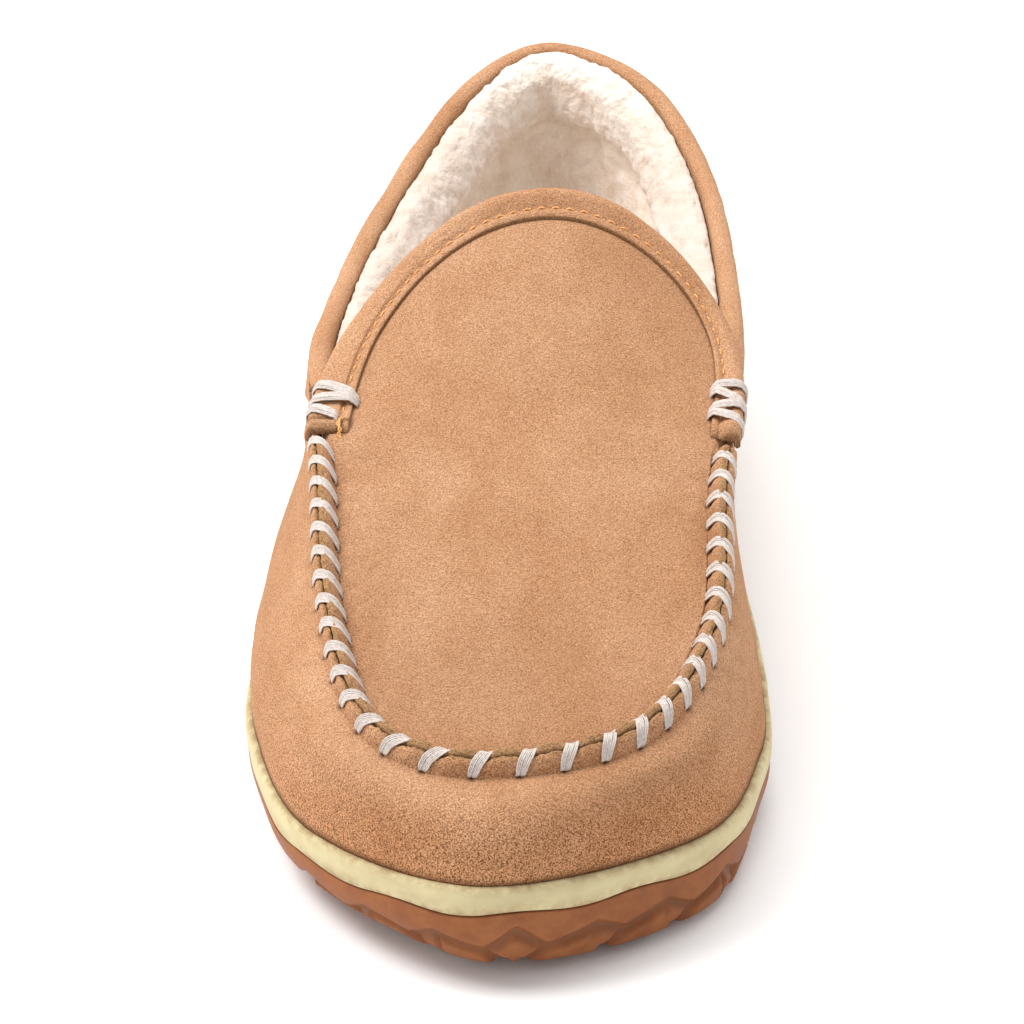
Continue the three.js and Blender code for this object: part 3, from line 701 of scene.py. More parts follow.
def seam_inner(rise):
    return SEAM_INNER + 0.03 * (1 - rise)


def spread(section, count):
    """A section's rows of values, resampled smoothly to count rows."""
    return Curve(section)(np.linspace(0, 1, count))


# The two halves of the raised seam: (out from its middle, up from its foot, slant of the lace).
OUTER_HALF = [(2.85, 0.0, 0.0), (2.75, 0.7, 0.04), (2.7, 1.7, 0.1), (2.55, 2.8, 0.16), (2.15, 3.6, 0.21),
              (1.7, 3.85, 0.25), (1.22, 3.6, 0.28)]
INNER_HALF = [(-2.5, 0.0, 0.62), (-2.3, 0.8, 0.59), (-1.9, 2.0, 0.53), (-1.3, 3.4, 0.46), (-0.5, 4.4, 0.39),
              (0.35, 4.8, 0.33), (1.16, 4.25, 0.29)]
HOLE = 0.65  # reach of the dark shade round a lace hole
LACE_PITCH = 8.0  # typical, for shading only


def hole_shade(t, slant, away):
    """1 at a lace hole, where the lace's shadow is painted dark. away is the distance from the line of holes.
    """
    phase = stitch_phase(t) + slant
    beside = (phase - np.round(phase)) * LACE_PITCH
    return np.exp(-(beside / HOLE) ** 2 - (away / HOLE) ** 2) * ridge_share(t)


def seam_half(t, section, count, pinch):
    """Grid of the flange's rows over places t, puffed out between stitches. Also its raw mask and its painted
    shadow at the lace holes.
    """
    rows = spread(section, count)
    slant = rows[:, 2][None, :]
    swell = puff(t, slant)
    share = np.clip(rows[:, 1] / RIDGE, 0, 1)[None, :]
    squeeze = lerp(1, lerp(pinch, 1.06, swell), smooth(share, 0.0, 0.35))
    out = (0.8 + (rows[:, 0][None, :] - 0.8) * squeeze) * lerp(0.15, 1.0, ridge_share(t))
    rise = rows[:, 1][None, :] * lerp(0.82, 1.06, swell)
    tall = lerp(0.05, 1.0, ridge_share(t))
    way = outward(t + 0 * slant)
    grid = top_line(t + 0 * slant) + way * out[..., None]
    grid[..., 2] += rise * tall
    along = (np.arange(count) / (count - 1.0))[None, :]
    grid[..., 2] += noise(grid, 0.8, 7) * lerp(0.06, 0.34, smooth(along, 0.6, 0.8)) * smooth(along, 0.0, 0.2)
    grid += way * (0.14 * noise(grid, 1.1, 8) * smooth(along, 0.05, 0.3))[..., None]
    raw = smooth(along, 0.62, 0.84) * ridge_share(t) * 0.85
    # Painted shadow round each lace hole.
    dark = hole_shade(t + 0 * slant, section[0][2], rise - 0.4)
    return grid, raw + 0 * grid[..., 0], dark


def wall_grid(share, rises, place):
    """Outer wall points, with gentle undulations and the puckers below the raised seam."""
    t = place(share[:, None], rises[None, :])
    p = wall(t, rises[None, :])
    normal = wall_normal(t, rises[None, :] + 0 * t)
    below = np.linalg.norm(p - p[:, -1:], axis=-1)
    pucker = (puff(t, 0.0) - 0.5 * ridge_share(t)) * np.exp(-below / 4.0)
    crease = -0.1 * ridge_share(t) * np.exp(-(below / 1.8) ** 2)
    swell = 0.45 * noise(p, 17, 11) + 0.16 * noise(p, 6, 12)
    hold = smooth(rises, 0.0, 0.12)[None, :] * smooth(below, 0, 5)
    return p + normal * (0.7 * pucker + crease + swell * hold)[..., None]


def lapped(points, t, rise, edge_share, lap):
    """Lifts the vamp's back edges over the quarters."""
    return points + wall_normal(t, rise) * (lap * edge_share)[..., None]


def vamp():
    share = np.linspace(0, 1, many(640))
    rises = 1 - (1 - np.linspace(0, 1, many(50))) ** 1.3
    place = lambda s, r: lerp(seam_outer(r) - 0.006, seam_inner(r) + 0.006, s)
    outer = wall_grid(share, rises, place)
    t = place(share[:, None], rises[None, :])
    edge = 1 - smooth(np.minimum(share, 1 - share), 0.012, 0.03)[:, None] + 0 * t
    lap = 1.5 * (1 - smooth(rises, 0.62, 0.9))[None, :] - 0.6 * smooth(rises, 0.85, 1.0)[None, :]
    outer = lapped(outer, t, rises[None, :] + 0 * t, edge, lap)
    top = place(share, 1.0)[:, None]
    flange, raw, dark = seam_half(top, OUTER_HALF, many(26), 0.8)
    outer += seam_root(t, outer, flange)
    inner_wall = layer(t, rises[None, :], SUEDE - lap * edge)
    climb = np.linspace(0, 1, raw.shape[1])[None, :]
    inner_face = top_line(top + 0 * raw) + outward(top + 0 * raw) * lerp(0.25, 1.3, climb)[..., None]
    inner_face[..., 2] = lerp(inner_wall[:, -1:, 2], flange[:, -1:, 2] - 0.4, climb)
    # Darker along the bottom of the wall, next to the sole.
    bottom = 1 - smooth(rises, 0.0, 0.06)
    below = np.linalg.norm(outer - outer[:, -1:], axis=-1)
    # Painted shadow at the lace holes below the seam.
    hole = hole_shade(t, 0.0, below)
    # Coarser nap towards the toe and low down, where the suede is also painted darker as shade.
    rough = lerp(0.35, 1.0, toe_wrap(t) * (1 - smooth(rises, 0.15, 0.95))[None, :])
    outside = np.concatenate([outer, flange], axis=1)
    inside = np.concatenate([inner_wall, inner_face], axis=1)
    sheet("vamp_suede", outside, inside, SUEDE_LOOK, ["vamp"],
          {"raw": np.concatenate([0 * t, raw], axis=1), "hole": np.concatenate([hole, dark], axis=1),
           "worn": np.concatenate([0.75 * bottom[None, :] + 0 * t, 0 * raw], axis=1),
           "rough": np.concatenate([rough, 0.6 + 0 * raw], axis=1)})


def seam_root(t, outer, flange):
    """Draws the wall's top rows up into the flange's foot."""
    away = np.linalg.norm(outer - outer[:, -1:], axis=-1)
    return (flange[:, :1] - outer[:, -1:]) * (np.exp(-away / 2.2) * ridge_share(t))[..., None]


def quarter(name, node, place):
    share = np.linspace(0, 1, many(260))
    rises = np.linspace(0, 1, many(44))
    t = place(share[:, None], rises[None, :])
    outer = wall(t, rises[None, :])
    swell = 0.5 * noise(outer, 19, 21) + 0.16 * noise(outer, 7, 22)
    seam = np.exp(-(np.linalg.norm(outer - wall(t * 0, rises[None, :] + 0 * t), axis=-1) / 1.4) ** 2)
    hold = smooth(rises, 0.0, 0.12)[None, :]
    outer = outer + wall_normal(t, rises[None, :] + 0 * t) * (swell * hold - 1.0 * seam)[..., None]
    inner = layer(t, rises[None, :], SUEDE)
    # Darker along the bottom of the wall and in the heel's back seam.
    worn = 0.75 * (1 - smooth(rises, 0.0, 0.07))[None, :] + 0.6 * seam
    sheet(name, outer, inner, SUEDE_LOOK, [node], suede_masks(seam, worn=worn, rough=0.3 + 0 * seam))


def quarters():
    quarter("quarter_outer_suede", "quarter_outer", lambda s, r: lerp(0.0003, seam_outer(r), s))
    quarter("quarter_inner_suede", "quarter_inner", lambda s, r: lerp(seam_inner(r), 0.9997, s))


def topline_binding():
    t = np.linspace(-BINDING_END, BINDING_END, many(560))
    hem = 0.11 * (1 - smooth(BINDING_END - np.abs(t), 0.0, 0.03))
    lap = lambda rise, depth: layer(t, rise + hem * (0.95 - rise) / 0.15, depth)
    at = partial(off_top, t)
    outer = through([lap(0.8, -1.3), lap(0.84, -1.75), lap(0.92, -1.75), at(1.75, -0.8), at(1.2, 1.2),
                     at(-0.2, 2.25), at(-1.8, 2.35), at(-3.0, 1.6), at(-3.5, 0.1), at(-3.5, -1.0)], many(52))
    inner = through([lap(0.8, -0.5), lap(0.84, -0.4), lap(0.92, -0.4), at(0.6, 0.0), at(0.3, 0.6),
                     at(-0.4, 1.0), at(-1.4, 1.1), at(-2.2, 0.7), at(-2.5, -0.2), at(-2.6, -1.0)], many(52))
    swell = 0.3 * noise(outer, 16, 31) + 0.12 * noise(outer, 5, 32)
    along = np.linspace(0, 1, outer.shape[1])[None, :]
    swell *= smooth(along, 0.0, 0.2) * (1 - smooth(along, 0.75, 1.0))
    outer += outward(t)[:, None] * swell[..., None] + up(0.5 * swell)
    ends = smooth(BINDING_END - np.abs(t), 0.0, 0.010)[:, None, None]
    outer = lerp(inner, outer, lerp(0.3, 1.0, ends))
    raw = 0.55 * smooth(along, 0.80, 0.86) + 0.6 * (1 - smooth(along, 0.0, 0.04)) + 0 * swell
    sheet("topline_suede", outer, inner, SUEDE_LOOK, ["topline_binding"], suede_masks(raw, raw=raw))


# ---- apron --------------------
def apron_edge(inset, throat_inset, front_count, back_count):
    t = np.linspace(RIDGE_START + 0.001, RIDGE_END - 0.001, front_count)
    front = top_line(t) - outward(t) * inset
    back = throat(np.linspace(0.03, 0.97, back_count), -throat_inset, 0)
    return t, np.concatenate([front, back])


def apron_darkening(p):
    """The apron's darker nap, towards the toe and in soft patches."""
    low = smooth(-p[..., 1], 55, 105)
    patch = smooth(noise(p, 30.0, 45), -0.5, 0.7)
    return 0.24 * low * lerp(0.6, 1.0, patch) + (0.05 + 0.06 * patch) * (1 - low)


def apron():
    front, back = many(680), many(190)
    t, foot = apron_edge(2.5, 3.4, front, back)
    seam, raw, dark = seam_half(t[:, None], INNER_HALF, many(30), 0.8)
    lead = seam[:, 0] - foot[:front]
    rings, raws, holes = [], [], []
    plain, level = np.zeros(front + back), np.zeros(back)
    for share in np.concatenate([np.linspace(0.03, 0.9, many(60)), np.linspace(0.912, 1.0, many(18))]):
        ring = ring_at(APRON_CENTRE, foot, share, dome)
        reach = np.linalg.norm(ring[:front] - foot[:front], axis=1)
        pucker = (puff(t, 0.62) - 0.5) * ridge_share(t) * np.exp(-reach / 4.0)
        ring[:front] += lead * np.exp(-reach / 2.2)[:, None]
        ring[:front, 2] += 0.5 * pucker - 0.3 * ridge_share(t) * np.exp(-(reach / 1.6) ** 2)
        ring[:, 2] += (0.4 * noise(ring, 21, 41) + 0.12 * noise(ring, 7, 42)) * smooth(share, 1.0, 0.93)
        rings.append(ring)
        raws.append(plain)
        holes.append(np.concatenate([hole_shade(t, 0.62, reach), level]))
    last = rings[-1]
    for k in range(1, seam.shape[1]):
        ring = last.copy()
        ring[:front] = seam[:, k]
        ring[front:, 2] -= 0.02 * k
        rings.append(ring)
        raws.append(np.concatenate([raw[:, k], level]))
        holes.append(np.concatenate([dark[:, k], level]))
    below = last.copy()
    below[:front] = top_line(t) - outward(t) * 0.25
    below[:, 2] -= SUEDE
    rings.append(below)
    rings += [ring_at(APRON_CENTRE, foot, share, lambda x, y: dome(x, y) - SUEDE)
              for share in (0.9, 0.6, 0.3, 0.03)]
    raws, holes = np.stack(raws + [plain] * 5), np.stack(holes + [plain] * 5)
    # Painted shadow at the lace holes; the nap darker towards the toe and in soft patches.
    loft("apron_suede", np.stack(rings), SUEDE_LOOK, ["apron"],
         suede_masks(raws, raw=raws, worn=np.stack([apron_darkening(ring) for ring in rings]), hole=holes))


def topline_drop(s):
    """How far the band's outer edge hangs down to the topline, near the band's ends."""
    short = lerp(0.25, 1.0, smooth(np.minimum(s, 1 - s), 0.0, 0.03))
    return np.clip(throat(s, 0, 0)[..., 2] - BAND_REST, 0, 5.5) * short


def throat_band():
    s = np.linspace(0.0, 1.0, many(580))
    wrap = within(s, 0.14, 0.86, 0.14)
    width = band_width(s)
    inside = lambda o, z: throat(s, o - width, z)
    edge = lambda plain, folded: throat(s, lerp(plain[0], folded[0], wrap), lerp(plain[1], folded[1], wrap))
    drop = topline_drop(s)
    outer = through([inside(0.0, 0.05), inside(-0.05, 0.5), inside(0.2, 1.0), inside(0.7, 1.25),
                     inside(1.3, 1.2), inside(1.8, 0.95), inside(2.3, 1.3), inside(3.0, 1.95),
                     edge((-1.9, 2.6), (-1.9, 2.6)), edge((-0.7, 2.6), (-0.6, 2.3)),
                     edge((0.0, 2.0), (0.45, 1.2)), edge((0.35, 1.2 - 0.25 * drop), (0.9, -0.6)),
                     edge((0.3, 0.5 - 0.7 * drop), (0.6, -3.2)), edge((-0.4, 0.15 - drop), (-0.9, -6.6))],
                    many(84))
    body = smooth(np.linspace(0, 1, outer.shape[1]), 0.4, 0.6)[None, :]
    outer[..., 2] += body * (0.3 * noise(outer, 11, 51) + 0.12 * noise(outer, 4, 52))
    inner = through([inside(0.5, 0.05), inside(2.0, 0.1), edge((-2.6, 0.1), (-2.6, 0.1)),
                     edge((-1.6, 0.1), (-1.4, 0.0)), edge((-0.9, 0.1 - 0.3 * drop), (-0.6, -1.2)),
                     edge((-0.9, 0.1 - 0.7 * drop), (-1.0, -3.4)),
                     edge((-1.0, 0.05 - drop), (-2.0, -6.4))],
                    many(84))
    across = np.linspace(0, 1, outer.shape[1])[None, :]
    end = np.minimum(s, 1 - s)[:, None]
    raw = 1.0 - smooth(across, 0.10, 0.16) + 0 * end
    rolled = smooth(end, 0.0, 0.012)
    lift = 0.5 * rolled * (1 - smooth(end, 0.012, 0.035)) - 0.9 * (1 - rolled) ** 2
    outer[..., 2] += lift * smooth(across, 0, 0.1)
    raw = np.maximum(raw, 0.7 * (1 - smooth(end, 0.001, 0.005)))
    # A pressed fold line near each end, painted dark as shade in its crease.
    fold = np.exp(-((s[:, None] - BAND_FOLD) / 0.0022) ** 2) + 0 * raw
    outer[..., 2] -= 0.5 * fold * body
    raw = np.maximum(raw, 0.9 * fold)
    # The band's inner edge, cut ends and folds are darkened: the dark cut edge, with painted shadow in the
    # groove beside the apron and painted shade in the folds.
    sheet("throat_band_suede", outer, inner, SUEDE_LOOK, ["throat_band"],
          suede_masks(raw, raw=0.4 * raw, worn=0.85 * raw))


# ---- lace and thread --------------------
def axes(path, side):
    """Directions along path, and across it towards side."""
    along = unit(np.gradient(path, axis=0))
    return along, unit(side - along * (side * along).sum(axis=1, keepdims=True))


def tube(path, side, radii, sides=6):
    """Loops of a round strand along path, its section turned by side."""
    along, across = axes(path, side)
    normal = np.cross(across, along)
    angle = np.linspace(0, 2 * math.pi, sides, endpoint=False)
    ring = across[:, None] * np.cos(angle)[None, :, None] + normal[:, None] * np.sin(angle)[None, :, None]
    return path[:, None] + ring * np.asarray(radii)[..., None, None]


def strands(path, side, width, spread_share):
    """The lace's separate strands side by side, drawn together where spread_share is small."""
    along, across = axes(path, side)
    normal = unit(np.cross(along, across))
    run = distances(path)
    solids = []
    for k in range(STRANDS):
        u = 2 * (k + 0.5) / STRANDS - 1
        drift = 0.07 * np.sin(run / 3.1 + 2.4 * k) + 0.04 * np.sin(run / 1.3 + k)
        offset = (u + drift / width) * (width / 2 - LACE_RADIUS) * spread_share
        crown = 0.22 * (1 - u * u) + 0.05 * np.sin(run / 2.3 + 1.7 * k)
        crown = crown + (1 - spread_share) * 0.3 * math.cos(2.1 * k)
        line = path + across * offset[:, None] + normal * crown[:, None]
        solids.append(tube(line, across, LACE_RADIUS * (1 + 0.12 * np.sin(run / 1.9 + k))))
    return solids


OVER = [  # one pass of the lace: share of the pitch gone back, out, up, spread of the strands
    (0.68, -1.4, 0.1, 0.35), (0.64, -2.5, 0.4, 0.5), (0.60, -2.6, 1.1, 0.75), (0.54, -1.9, 2.4, 0.92),
    (0.46, -0.9, 3.75, 1.0), (0.36, 0.3, 4.3, 1.0), (0.24, 1.5, 4.05, 1.0), (0.12, 2.4, 3.1, 0.95),
    (0.04, 2.85, 1.5, 0.85), (0.00, 2.95, 0.4, 0.6), (-0.02, 2.0, -0.3, 0.4),
]


def seam_lace():
    solids = []
    rows = spread([o[:3] for o in OVER], many(34))
    width_share = np.interp(np.linspace(0, 1, len(rows)), np.linspace(0, 1, len(OVER)), [o[3] for o in OVER])
    for i in range(1, STITCHES + 1):
        pitch = PLACES[i] - PLACES[i - 1]
        wobble = 0.05 * math.sin(12.9 * i)
        t = PLACES[i] - (rows[:, 0] + wobble * (rows[:, 0] - 0.25)) * pitch
        path = off_top(t, rows[:, 1], rows[:, 2])
        side = unit(top_line(t + 0.002) - top_line(t - 0.002))
        solids += strands(path, side, LACE_WIDTH - SIDE_LACE * (1 - toe_wrap(PLACES[i])), width_share)
    several("seam_lace_strands", solids, LACE_LOOK, ["seam_lace"])


def tack(name, node, passes):
    """Flattened passes of lace across the band: (place at its outer end, at its inner end, reach across)."""
    solids = []
    for outer_end, inner_end, reach in passes:
        share = np.linspace(0, 1, many(40))
        s = lerp(outer_end, inner_end, share)
        width = band_width(s) * reach
        e = np.interp(share, [0, 0.06, 0.16, 0.3, 0.9, 1], [-0.1, 0.45, 0.5, -0.6, 0, 0])
        e = np.where(share > 0.3, lerp(-0.6, -width - 0.9, (share - 0.3) / 0.7), e)
        z = np.interp(share, [0, 0.06, 0.16, 0.3, 0.45, 0.7, 0.86, 0.95, 1],
                      [0.0, 0.7, 1.8, 3.2, 3.35, 2.9, 2.4, 1.2, 0.1])
        z -= 0.55 * topline_drop(s) * (1 - smooth(share, 0.0, 0.16))
        path = throat(s, e, z)
        ahead = throat(np.minimum(1, s + 0.004), e, z) - throat(np.maximum(0, s - 0.004), e, z)
        pull = 0.5 + 0.5 * np.sin(math.pi * np.clip(share * 0.96 + 0.02, 0, 1)) ** 0.6
        solids += strands(path, unit(ahead), LACE_WIDTH, pull)
    several(name, solids, LACE_LOOK, [node])


TAIL = [(0.010, 1.9, 1.9), (0.004, 2.2, 1.5), (-0.002, 1.7, 0.9), (-0.006, 1.9, 0.1), (-0.010, 1.5, -0.4)]


def band_stitching():
    """A row of lock stitches in the dip between the band's bead and its body, and its loose tail."""
    solids = []
    s = np.linspace(0.0, 1.0, 4000)
    line = throat(s, 1.8 - band_width(s), 1.2)
    run = distances(line)
    for start in np.arange(5.0, run[-1] - 5.0, THREAD_PITCH):
        share = np.linspace(0, 1, 9)
        place = np.interp(start + THREAD_STITCH * share, run, s)
        path = throat(place, 1.8 - band_width(place), 0.85 + 0.38 * np.sin(math.pi * share))
        solids.append(tube(path, np.tile([0.0, 0.0, 1.0], (9, 1)), THREAD_RADIUS))
    for twist in (-0.25, 0.25):
        rows = spread([(a, o + twist * (1 if k % 2 else -1), z) for k, (a, o, z) in enumerate(TAIL)], 24)
        start = throat(np.maximum(0, rows[:, 0]), rows[:, 1] - BAND_INNER, rows[:, 2])
        start[:, 1] += np.minimum(0, rows[:, 0]) * 130
        start[:, 2] += 0.3 - np.minimum(0, rows[:, 0]) * -30
        solids.append(tube(start, np.tile([1.0, 0.0, 0.0], (24, 1)), THREAD_RADIUS))
    several("band_thread", solids, THREAD_LOOK, ["band_stitching"])


# ---- fleece --------------------
def curled(points, normals, strength=1.0, salt=60):
    """Points moved out into curls along normals, and how deep in a crease each lies, which is used to paint
    shade into the creases.
    """
    warped = points + 1.1 * stack(*(noise(points, 4.0, salt + k) for k in range(3)))
    big = lumps(warped, 5.2, salt + 5)
    small = lumps(warped, 2.5, salt + 9)
    soft = noise(points, 13.0, salt + 13)
    height = 1.5 * big + 0.8 * small + 0.8 * soft + 0.25 * noise(points, 0.9, salt + 17)
    pile_shade = np.clip(1 - 0.75 * big - 0.5 * small, 0, 1)
    return points + normals * (strength * (height - 1.1))[..., None], pile_shade


def grid_normals(grid):
    return unit(np.cross(np.gradient(grid, axis=0), np.gradient(grid, axis=1)))


def eased(grid, reach, share):
    """The grid with its columns' bends round the shoe smoothed out over about reach columns."""
    width = int(3 * reach)
    kernel = np.exp(-0.5 * (np.arange(-width, width + 1) / reach) ** 2)
    kernel /= kernel.sum()
    padded = np.pad(grid, ((width, width), (0, 0), (0, 0)), mode="reflect", reflect_type="odd")
    smoothed = sum(k * padded[i:i + len(grid)] for i, k in enumerate(kernel))
    return lerp(grid, smoothed, share[None, :, None])


def quarter_lining():
    t = np.linspace(-LINING_END, LINING_END, many(600))
    lap, at = partial(layer, t), partial(off_top, t)
    wide = 1.2 * outer_share(t) - 1.0 * heel_shrink(t)  # the roll is fuller on the outer side
    inner = through([lap(0.12, 7.2), lap(0.3, 7.0), lap(0.5, 7.0), lap(0.655, 7.2),
                     lap(0.705, 7.9 + 0.3 * wide), lap(0.74, 10.4 + wide), lap(0.8, 12.3 + wide),
                     lap(0.87, 12.6 + wide), at(-11.0 - wide, -3.2), at(-8.6 - 0.6 * wide, 0.1),
                     at(-6.4, 1.3), at(-4.9, 1.2), at(-4.0, 0.5), at(-3.75, -0.6)], many(110))
    inner = eased(inner, 20.5 * DETAIL, smooth(np.linspace(1, 0, inner.shape[1]), 0.1, 0.45))
    outer = through([lap(0.12, 3.9), lap(0.35, 3.9), lap(0.6, 4.3), lap(0.72, 6.4), lap(0.9, 6.5),
                     at(-6.7, -1.2), at(-4.4, -0.9), at(-4.2, -0.4)], many(50))
    along = np.linspace(0, 1, inner.shape[1])[None, :]
    normals = grid_normals(inner)
    facing = np.sign((normals[:, :20] * wall_normal(t, 0.3)[:, None]).sum(axis=-1).mean())
    calm = (1 - smooth(along, 0.86, 0.98)) * lerp(0.8, 0.6, smooth(along, 0.5, 0.62))
    curls, pile_shade = curled(inner, -normals * facing, calm)
    # Painted shade: a dark line just under the roll's lower edge, and darker pile in the creases, more on the
    # roll.
    shade = 0.35 * np.exp(-((along - 0.34) / 0.055) ** 2)
    mask = np.clip(lerp(0.15, 0.28, smooth(along, 0.4, 0.5)) * pile_shade + shade, 0, 1)
    # The roll's pile is painted greyer as shade, fully at the sides and about a third as much at the heel.
    at_side = smooth(np.abs((t + 0.5) % 1.0 - 0.5), 0.025, 0.13)[:, None] + 0 * mask
    roll = smooth(along, 0.3, 0.5) * lerp(0.35, 1.0, at_side)
    behind = np.zeros(outer.shape[:2])
    loops = np.concatenate([curls, outer[:, ::-1]], axis=1)
    piece = loft("quarter_fleece", loops, FLEECE_LOOK, ["quarter_lining"],
                 {"pile_shade": np.concatenate([mask, behind], axis=1),
                  "roll": np.concatenate([roll, behind], axis=1)})


def collar_pad():
    """The soft roll inside the topline: a crowned pad that thins out at both ends."""
    t = np.linspace(-ROLL_END, ROLL_END, many(260))
    thin = within((t + ROLL_END) / (2 * ROLL_END), 0.0, 1.0, 0.12)
    lap = lambda rise, depth: layer(t, rise, SUEDE + depth)
    face = through([lap(0.65, 0.9), lap(0.69, 1.3 + 1.6 * thin), lap(0.8, 1.5 + 2.4 * thin),
                    lap(0.91, 1.3 + 2.1 * thin), lap(0.95, 0.9)], many(28))
    back = through([lap(0.65, 0.75), lap(0.8, 0.75), lap(0.95, 0.75)], many(28))
    loops = np.concatenate([face, back[:, ::-1]], axis=1)
    piece = loft("collar_pad", loops, PAD_LOOK, ["collar_foam"])


def footbed_pad():
    """The cushion under the pile: crowned, with a softly rounded edge."""
    t = np.linspace(0, 1, many(300), endpoint=False)
    section = [(0.03, 4.5), (0.5, 4.5), (0.97, 4.6), (0.99, 5.0), (1.0, 5.7), (0.99, 6.4), (0.97, 6.8),
               (0.85, 7.05), (0.5, 7.3), (0.03, 7.3)]  # share of the way out, height
    rings = [ring_at(SOLE_CENTRE, outline(t, PAD_INSET), share, lambda x, y: foot_z(y) + height)
             for share, height in section]
    piece = loft("footbed_pad", np.stack(rings), PAD_LOOK, ["footbed_foam"])


def vamp_lining():
    t = np.linspace(0.264, 0.736, many(360))[:, None]
    rise = np.linspace(0.26, 0.8, many(44))[None, :]
    inner = layer(t, rise, 5.6)
    normal = wall_normal(t, rise + 0 * t)
    curls, pile_shade = curled(inner, -normal, 0.6, 80)
    outer = layer(t, rise, SUEDE + 0.8)
    loops = np.concatenate([curls, outer[:, ::-1]], axis=1)
    # Painted shade: the pile darkened a little all over, and more in the creases.
    loft("vamp_fleece", loops, FLEECE_LOOK, ["vamp_lining"],
         {"pile_shade": np.concatenate([np.clip(0.5 * pile_shade + 0.3, 0, 1), 0 * pile_shade], axis=1)})


def apron_lining():
    _, edge = apron_edge(5, 4, many(300), many(120))
    rings = [ring_at(APRON_CENTRE, edge, share, lambda x, y: dome(x, y) - SUEDE - 0.8)
             for share in np.linspace(0.03, 1.0, 12)]
    pile_shades = [0 * edge[:, 0]] * len(rings)
    for share in np.linspace(0.99, 0.03, many(60)):
        ring = ring_at(APRON_CENTRE, edge, share, lambda x, y: dome(x, y) - SUEDE - 3.6)
        curls, pile_shade = curled(ring, np.tile([0.0, 0.0, -1.0], (len(ring), 1)), 0.6, 100)
        rings.append(curls)
        # Painted shade: the pile darkened a little all over, and more in the creases.
        pile_shades.append(np.clip(0.5 * pile_shade + 0.3, 0, 1))
    loft("apron_fleece", np.stack(rings), FLEECE_LOOK, ["apron_lining"], {"pile_shade": np.stack(pile_shades)})


def footbed_fleece():
    t = np.linspace(0, 1, many(560), endpoint=False)
    edge = outline(t, PILE_INSET)
    rings = [ring_at(SOLE_CENTRE, edge, share, lambda x, y: foot_z(y) + 7.6) for share in (0.03, 0.5, 0.98)]
    pile_shades = [0 * t] * len(rings)
    for share in np.linspace(1.0, 0.03, many(90)):
        ring = ring_at(SOLE_CENTRE, edge, share, lambda x, y: foot_z(y) + 10.2)
        curls, pile_shade = curled(ring, np.tile([0.0, 0.0, 1.0], (len(ring), 1)), 0.7, 120)
        rings.append(curls)
        # Painted shade: the pile darkened a little all over, and more in the creases.
        pile_shades.append(np.clip(0.5 * pile_shade + 0.25, 0, 1))
    piece = loft("footbed_pile", np.stack(rings), FLEECE_LOOK, ["footbed_fleece"],
                 {"pile_shade": np.stack(pile_shades)})


# ---- build --------------------
def dress(node, look):
    """A better material for a CAD node that keeps its own shape."""
    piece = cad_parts[node]
    piece.data.materials.clear()
    piece.data.materials.append(look)


def build():
    outsole()
    midsole()
    vamp()
    quarters()
    topline_binding()
    apron()
    throat_band()
    seam_lace()
    tack("tack_inner_strands", "tack_inner", [(0.081, 0.051, 1.0), (0.042, 0.046, 1.0), (0.030, 0.013, 0.66)])
    tack("tack_outer_strands", "tack_outer",
         [(0.913, 0.930, 1.0), (0.955, 0.935, 1.0), (0.948, 0.968, 1.0), (0.984, 0.973, 1.0)])
    band_stitching()
    quarter_lining()
    vamp_lining()
    apron_lining()
    footbed_fleece()
    collar_pad()
    footbed_pad()
    for node in ("insole_board", "heel_counter"):
        dress(node, BOARD_LOOK)


# ---- floor, light and camera --------------------
def floor():
    mesh = bpy.data.meshes.new("floor")
    reach = 6.0
    corners = [(-reach, -reach, 0), (reach, -reach, 0), (reach, reach, 0), (-reach, reach, 0)]
    mesh.from_pydata(corners, [], [(0, 1, 2, 3)])
    look = Look("floor_paint", roughness=0.9, specular=0.1)
    tone = look.ramp(look.grain(300), [(0.3, (0.93, 0.93, 0.93)), (0.7, (0.95, 0.95, 0.95))])
    mesh.materials.append(look.finish(tone, []))
    piece = bpy.data.objects.new("floor", mesh)
    bpy.context.scene.collection.objects.link(piece)


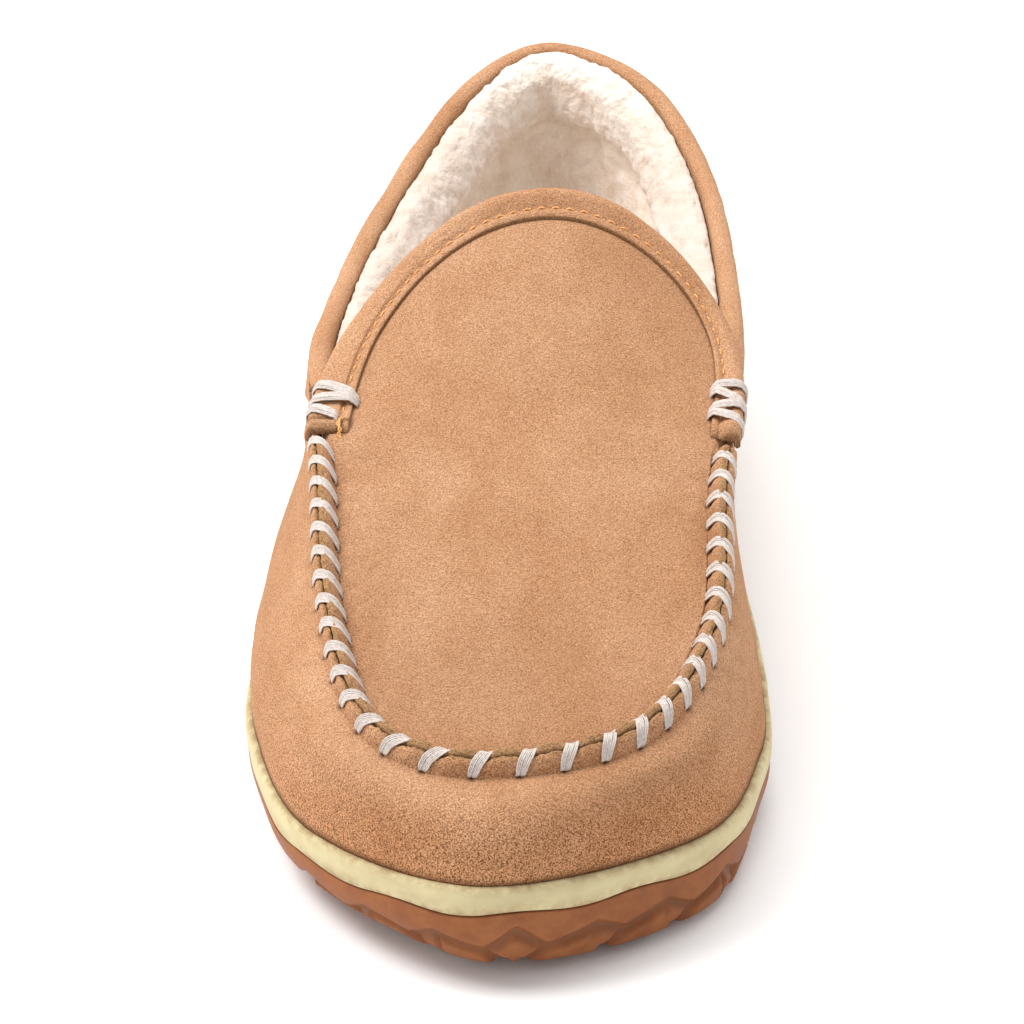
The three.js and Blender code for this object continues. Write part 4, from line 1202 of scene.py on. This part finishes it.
def area_light(name, place, target, size, power):
    data = bpy.data.lights.new(name, "AREA")
    data.shape = "SQUARE"
    data.size = size
    data.energy = power
    lamp = bpy.data.objects.new(name, data)
    lamp.location = place
    lamp.rotation_euler = (Vector(target) - Vector(place)).to_track_quat("-Z", "Y").to_euler()
    bpy.context.scene.collection.objects.link(lamp)


def lights():
    world = bpy.data.worlds.new("studio")
    world.use_nodes = True
    background = world.node_tree.nodes["Background"]
    background.inputs["Color"].default_value = (1, 1, 1, 1)
    background.inputs["Strength"].default_value = 0.5
    bpy.context.scene.world = world
    area_light("key", (-0.8, 0.0, 1.3), (0, -0.02, 0.04), 0.7, 20)
    area_light("overhead", (0.1, 0.35, 1.5), (0, 0, 0.04), 1.1, 17)
    area_light("side", (0.8, 0.1, 0.4), (0, -0.03, 0.05), 0.5, 1.5)
    area_light("fill", (-0.85, -0.55, 0.45), (0, -0.06, 0.04), 0.6, 1.9)


CAMERA_ELEVATION, CAMERA_AZIMUTH, CAMERA_ROLL = 30.1, 2.0, 0.30  # degrees
CAMERA_DISTANCE = 0.8
CAMERA_TARGET = (-2.8, -29.0, 40.0)  # on the last, millimetres
CAMERA_LENS = 131.06  # for a 36 mm sensor


def camera():
    data = bpy.data.cameras.new("camera")
    data.lens = CAMERA_LENS
    data.sensor_width = 36
    elevation, azimuth = math.radians(CAMERA_ELEVATION), math.radians(CAMERA_AZIMUTH)
    flat = math.cos(elevation)
    back = Vector((math.sin(azimuth) * flat, -math.cos(azimuth) * flat, math.sin(elevation)))
    target = Vector((np.array(CAMERA_TARGET) + CENTRE) / 1000)
    eye = bpy.data.objects.new("camera", data)
    roll = Matrix.Rotation(math.radians(CAMERA_ROLL), 4, "Z")
    turn = back.to_track_quat("Z", "Y").to_matrix().to_4x4() @ roll
    eye.matrix_world = Matrix.Translation(target + back * CAMERA_DISTANCE) @ turn
    bpy.context.scene.collection.objects.link(eye)
    bpy.context.scene.camera = eye


build()
floor()
lights()
camera()
bpy.context.scene.view_settings.view_transform = "Standard"
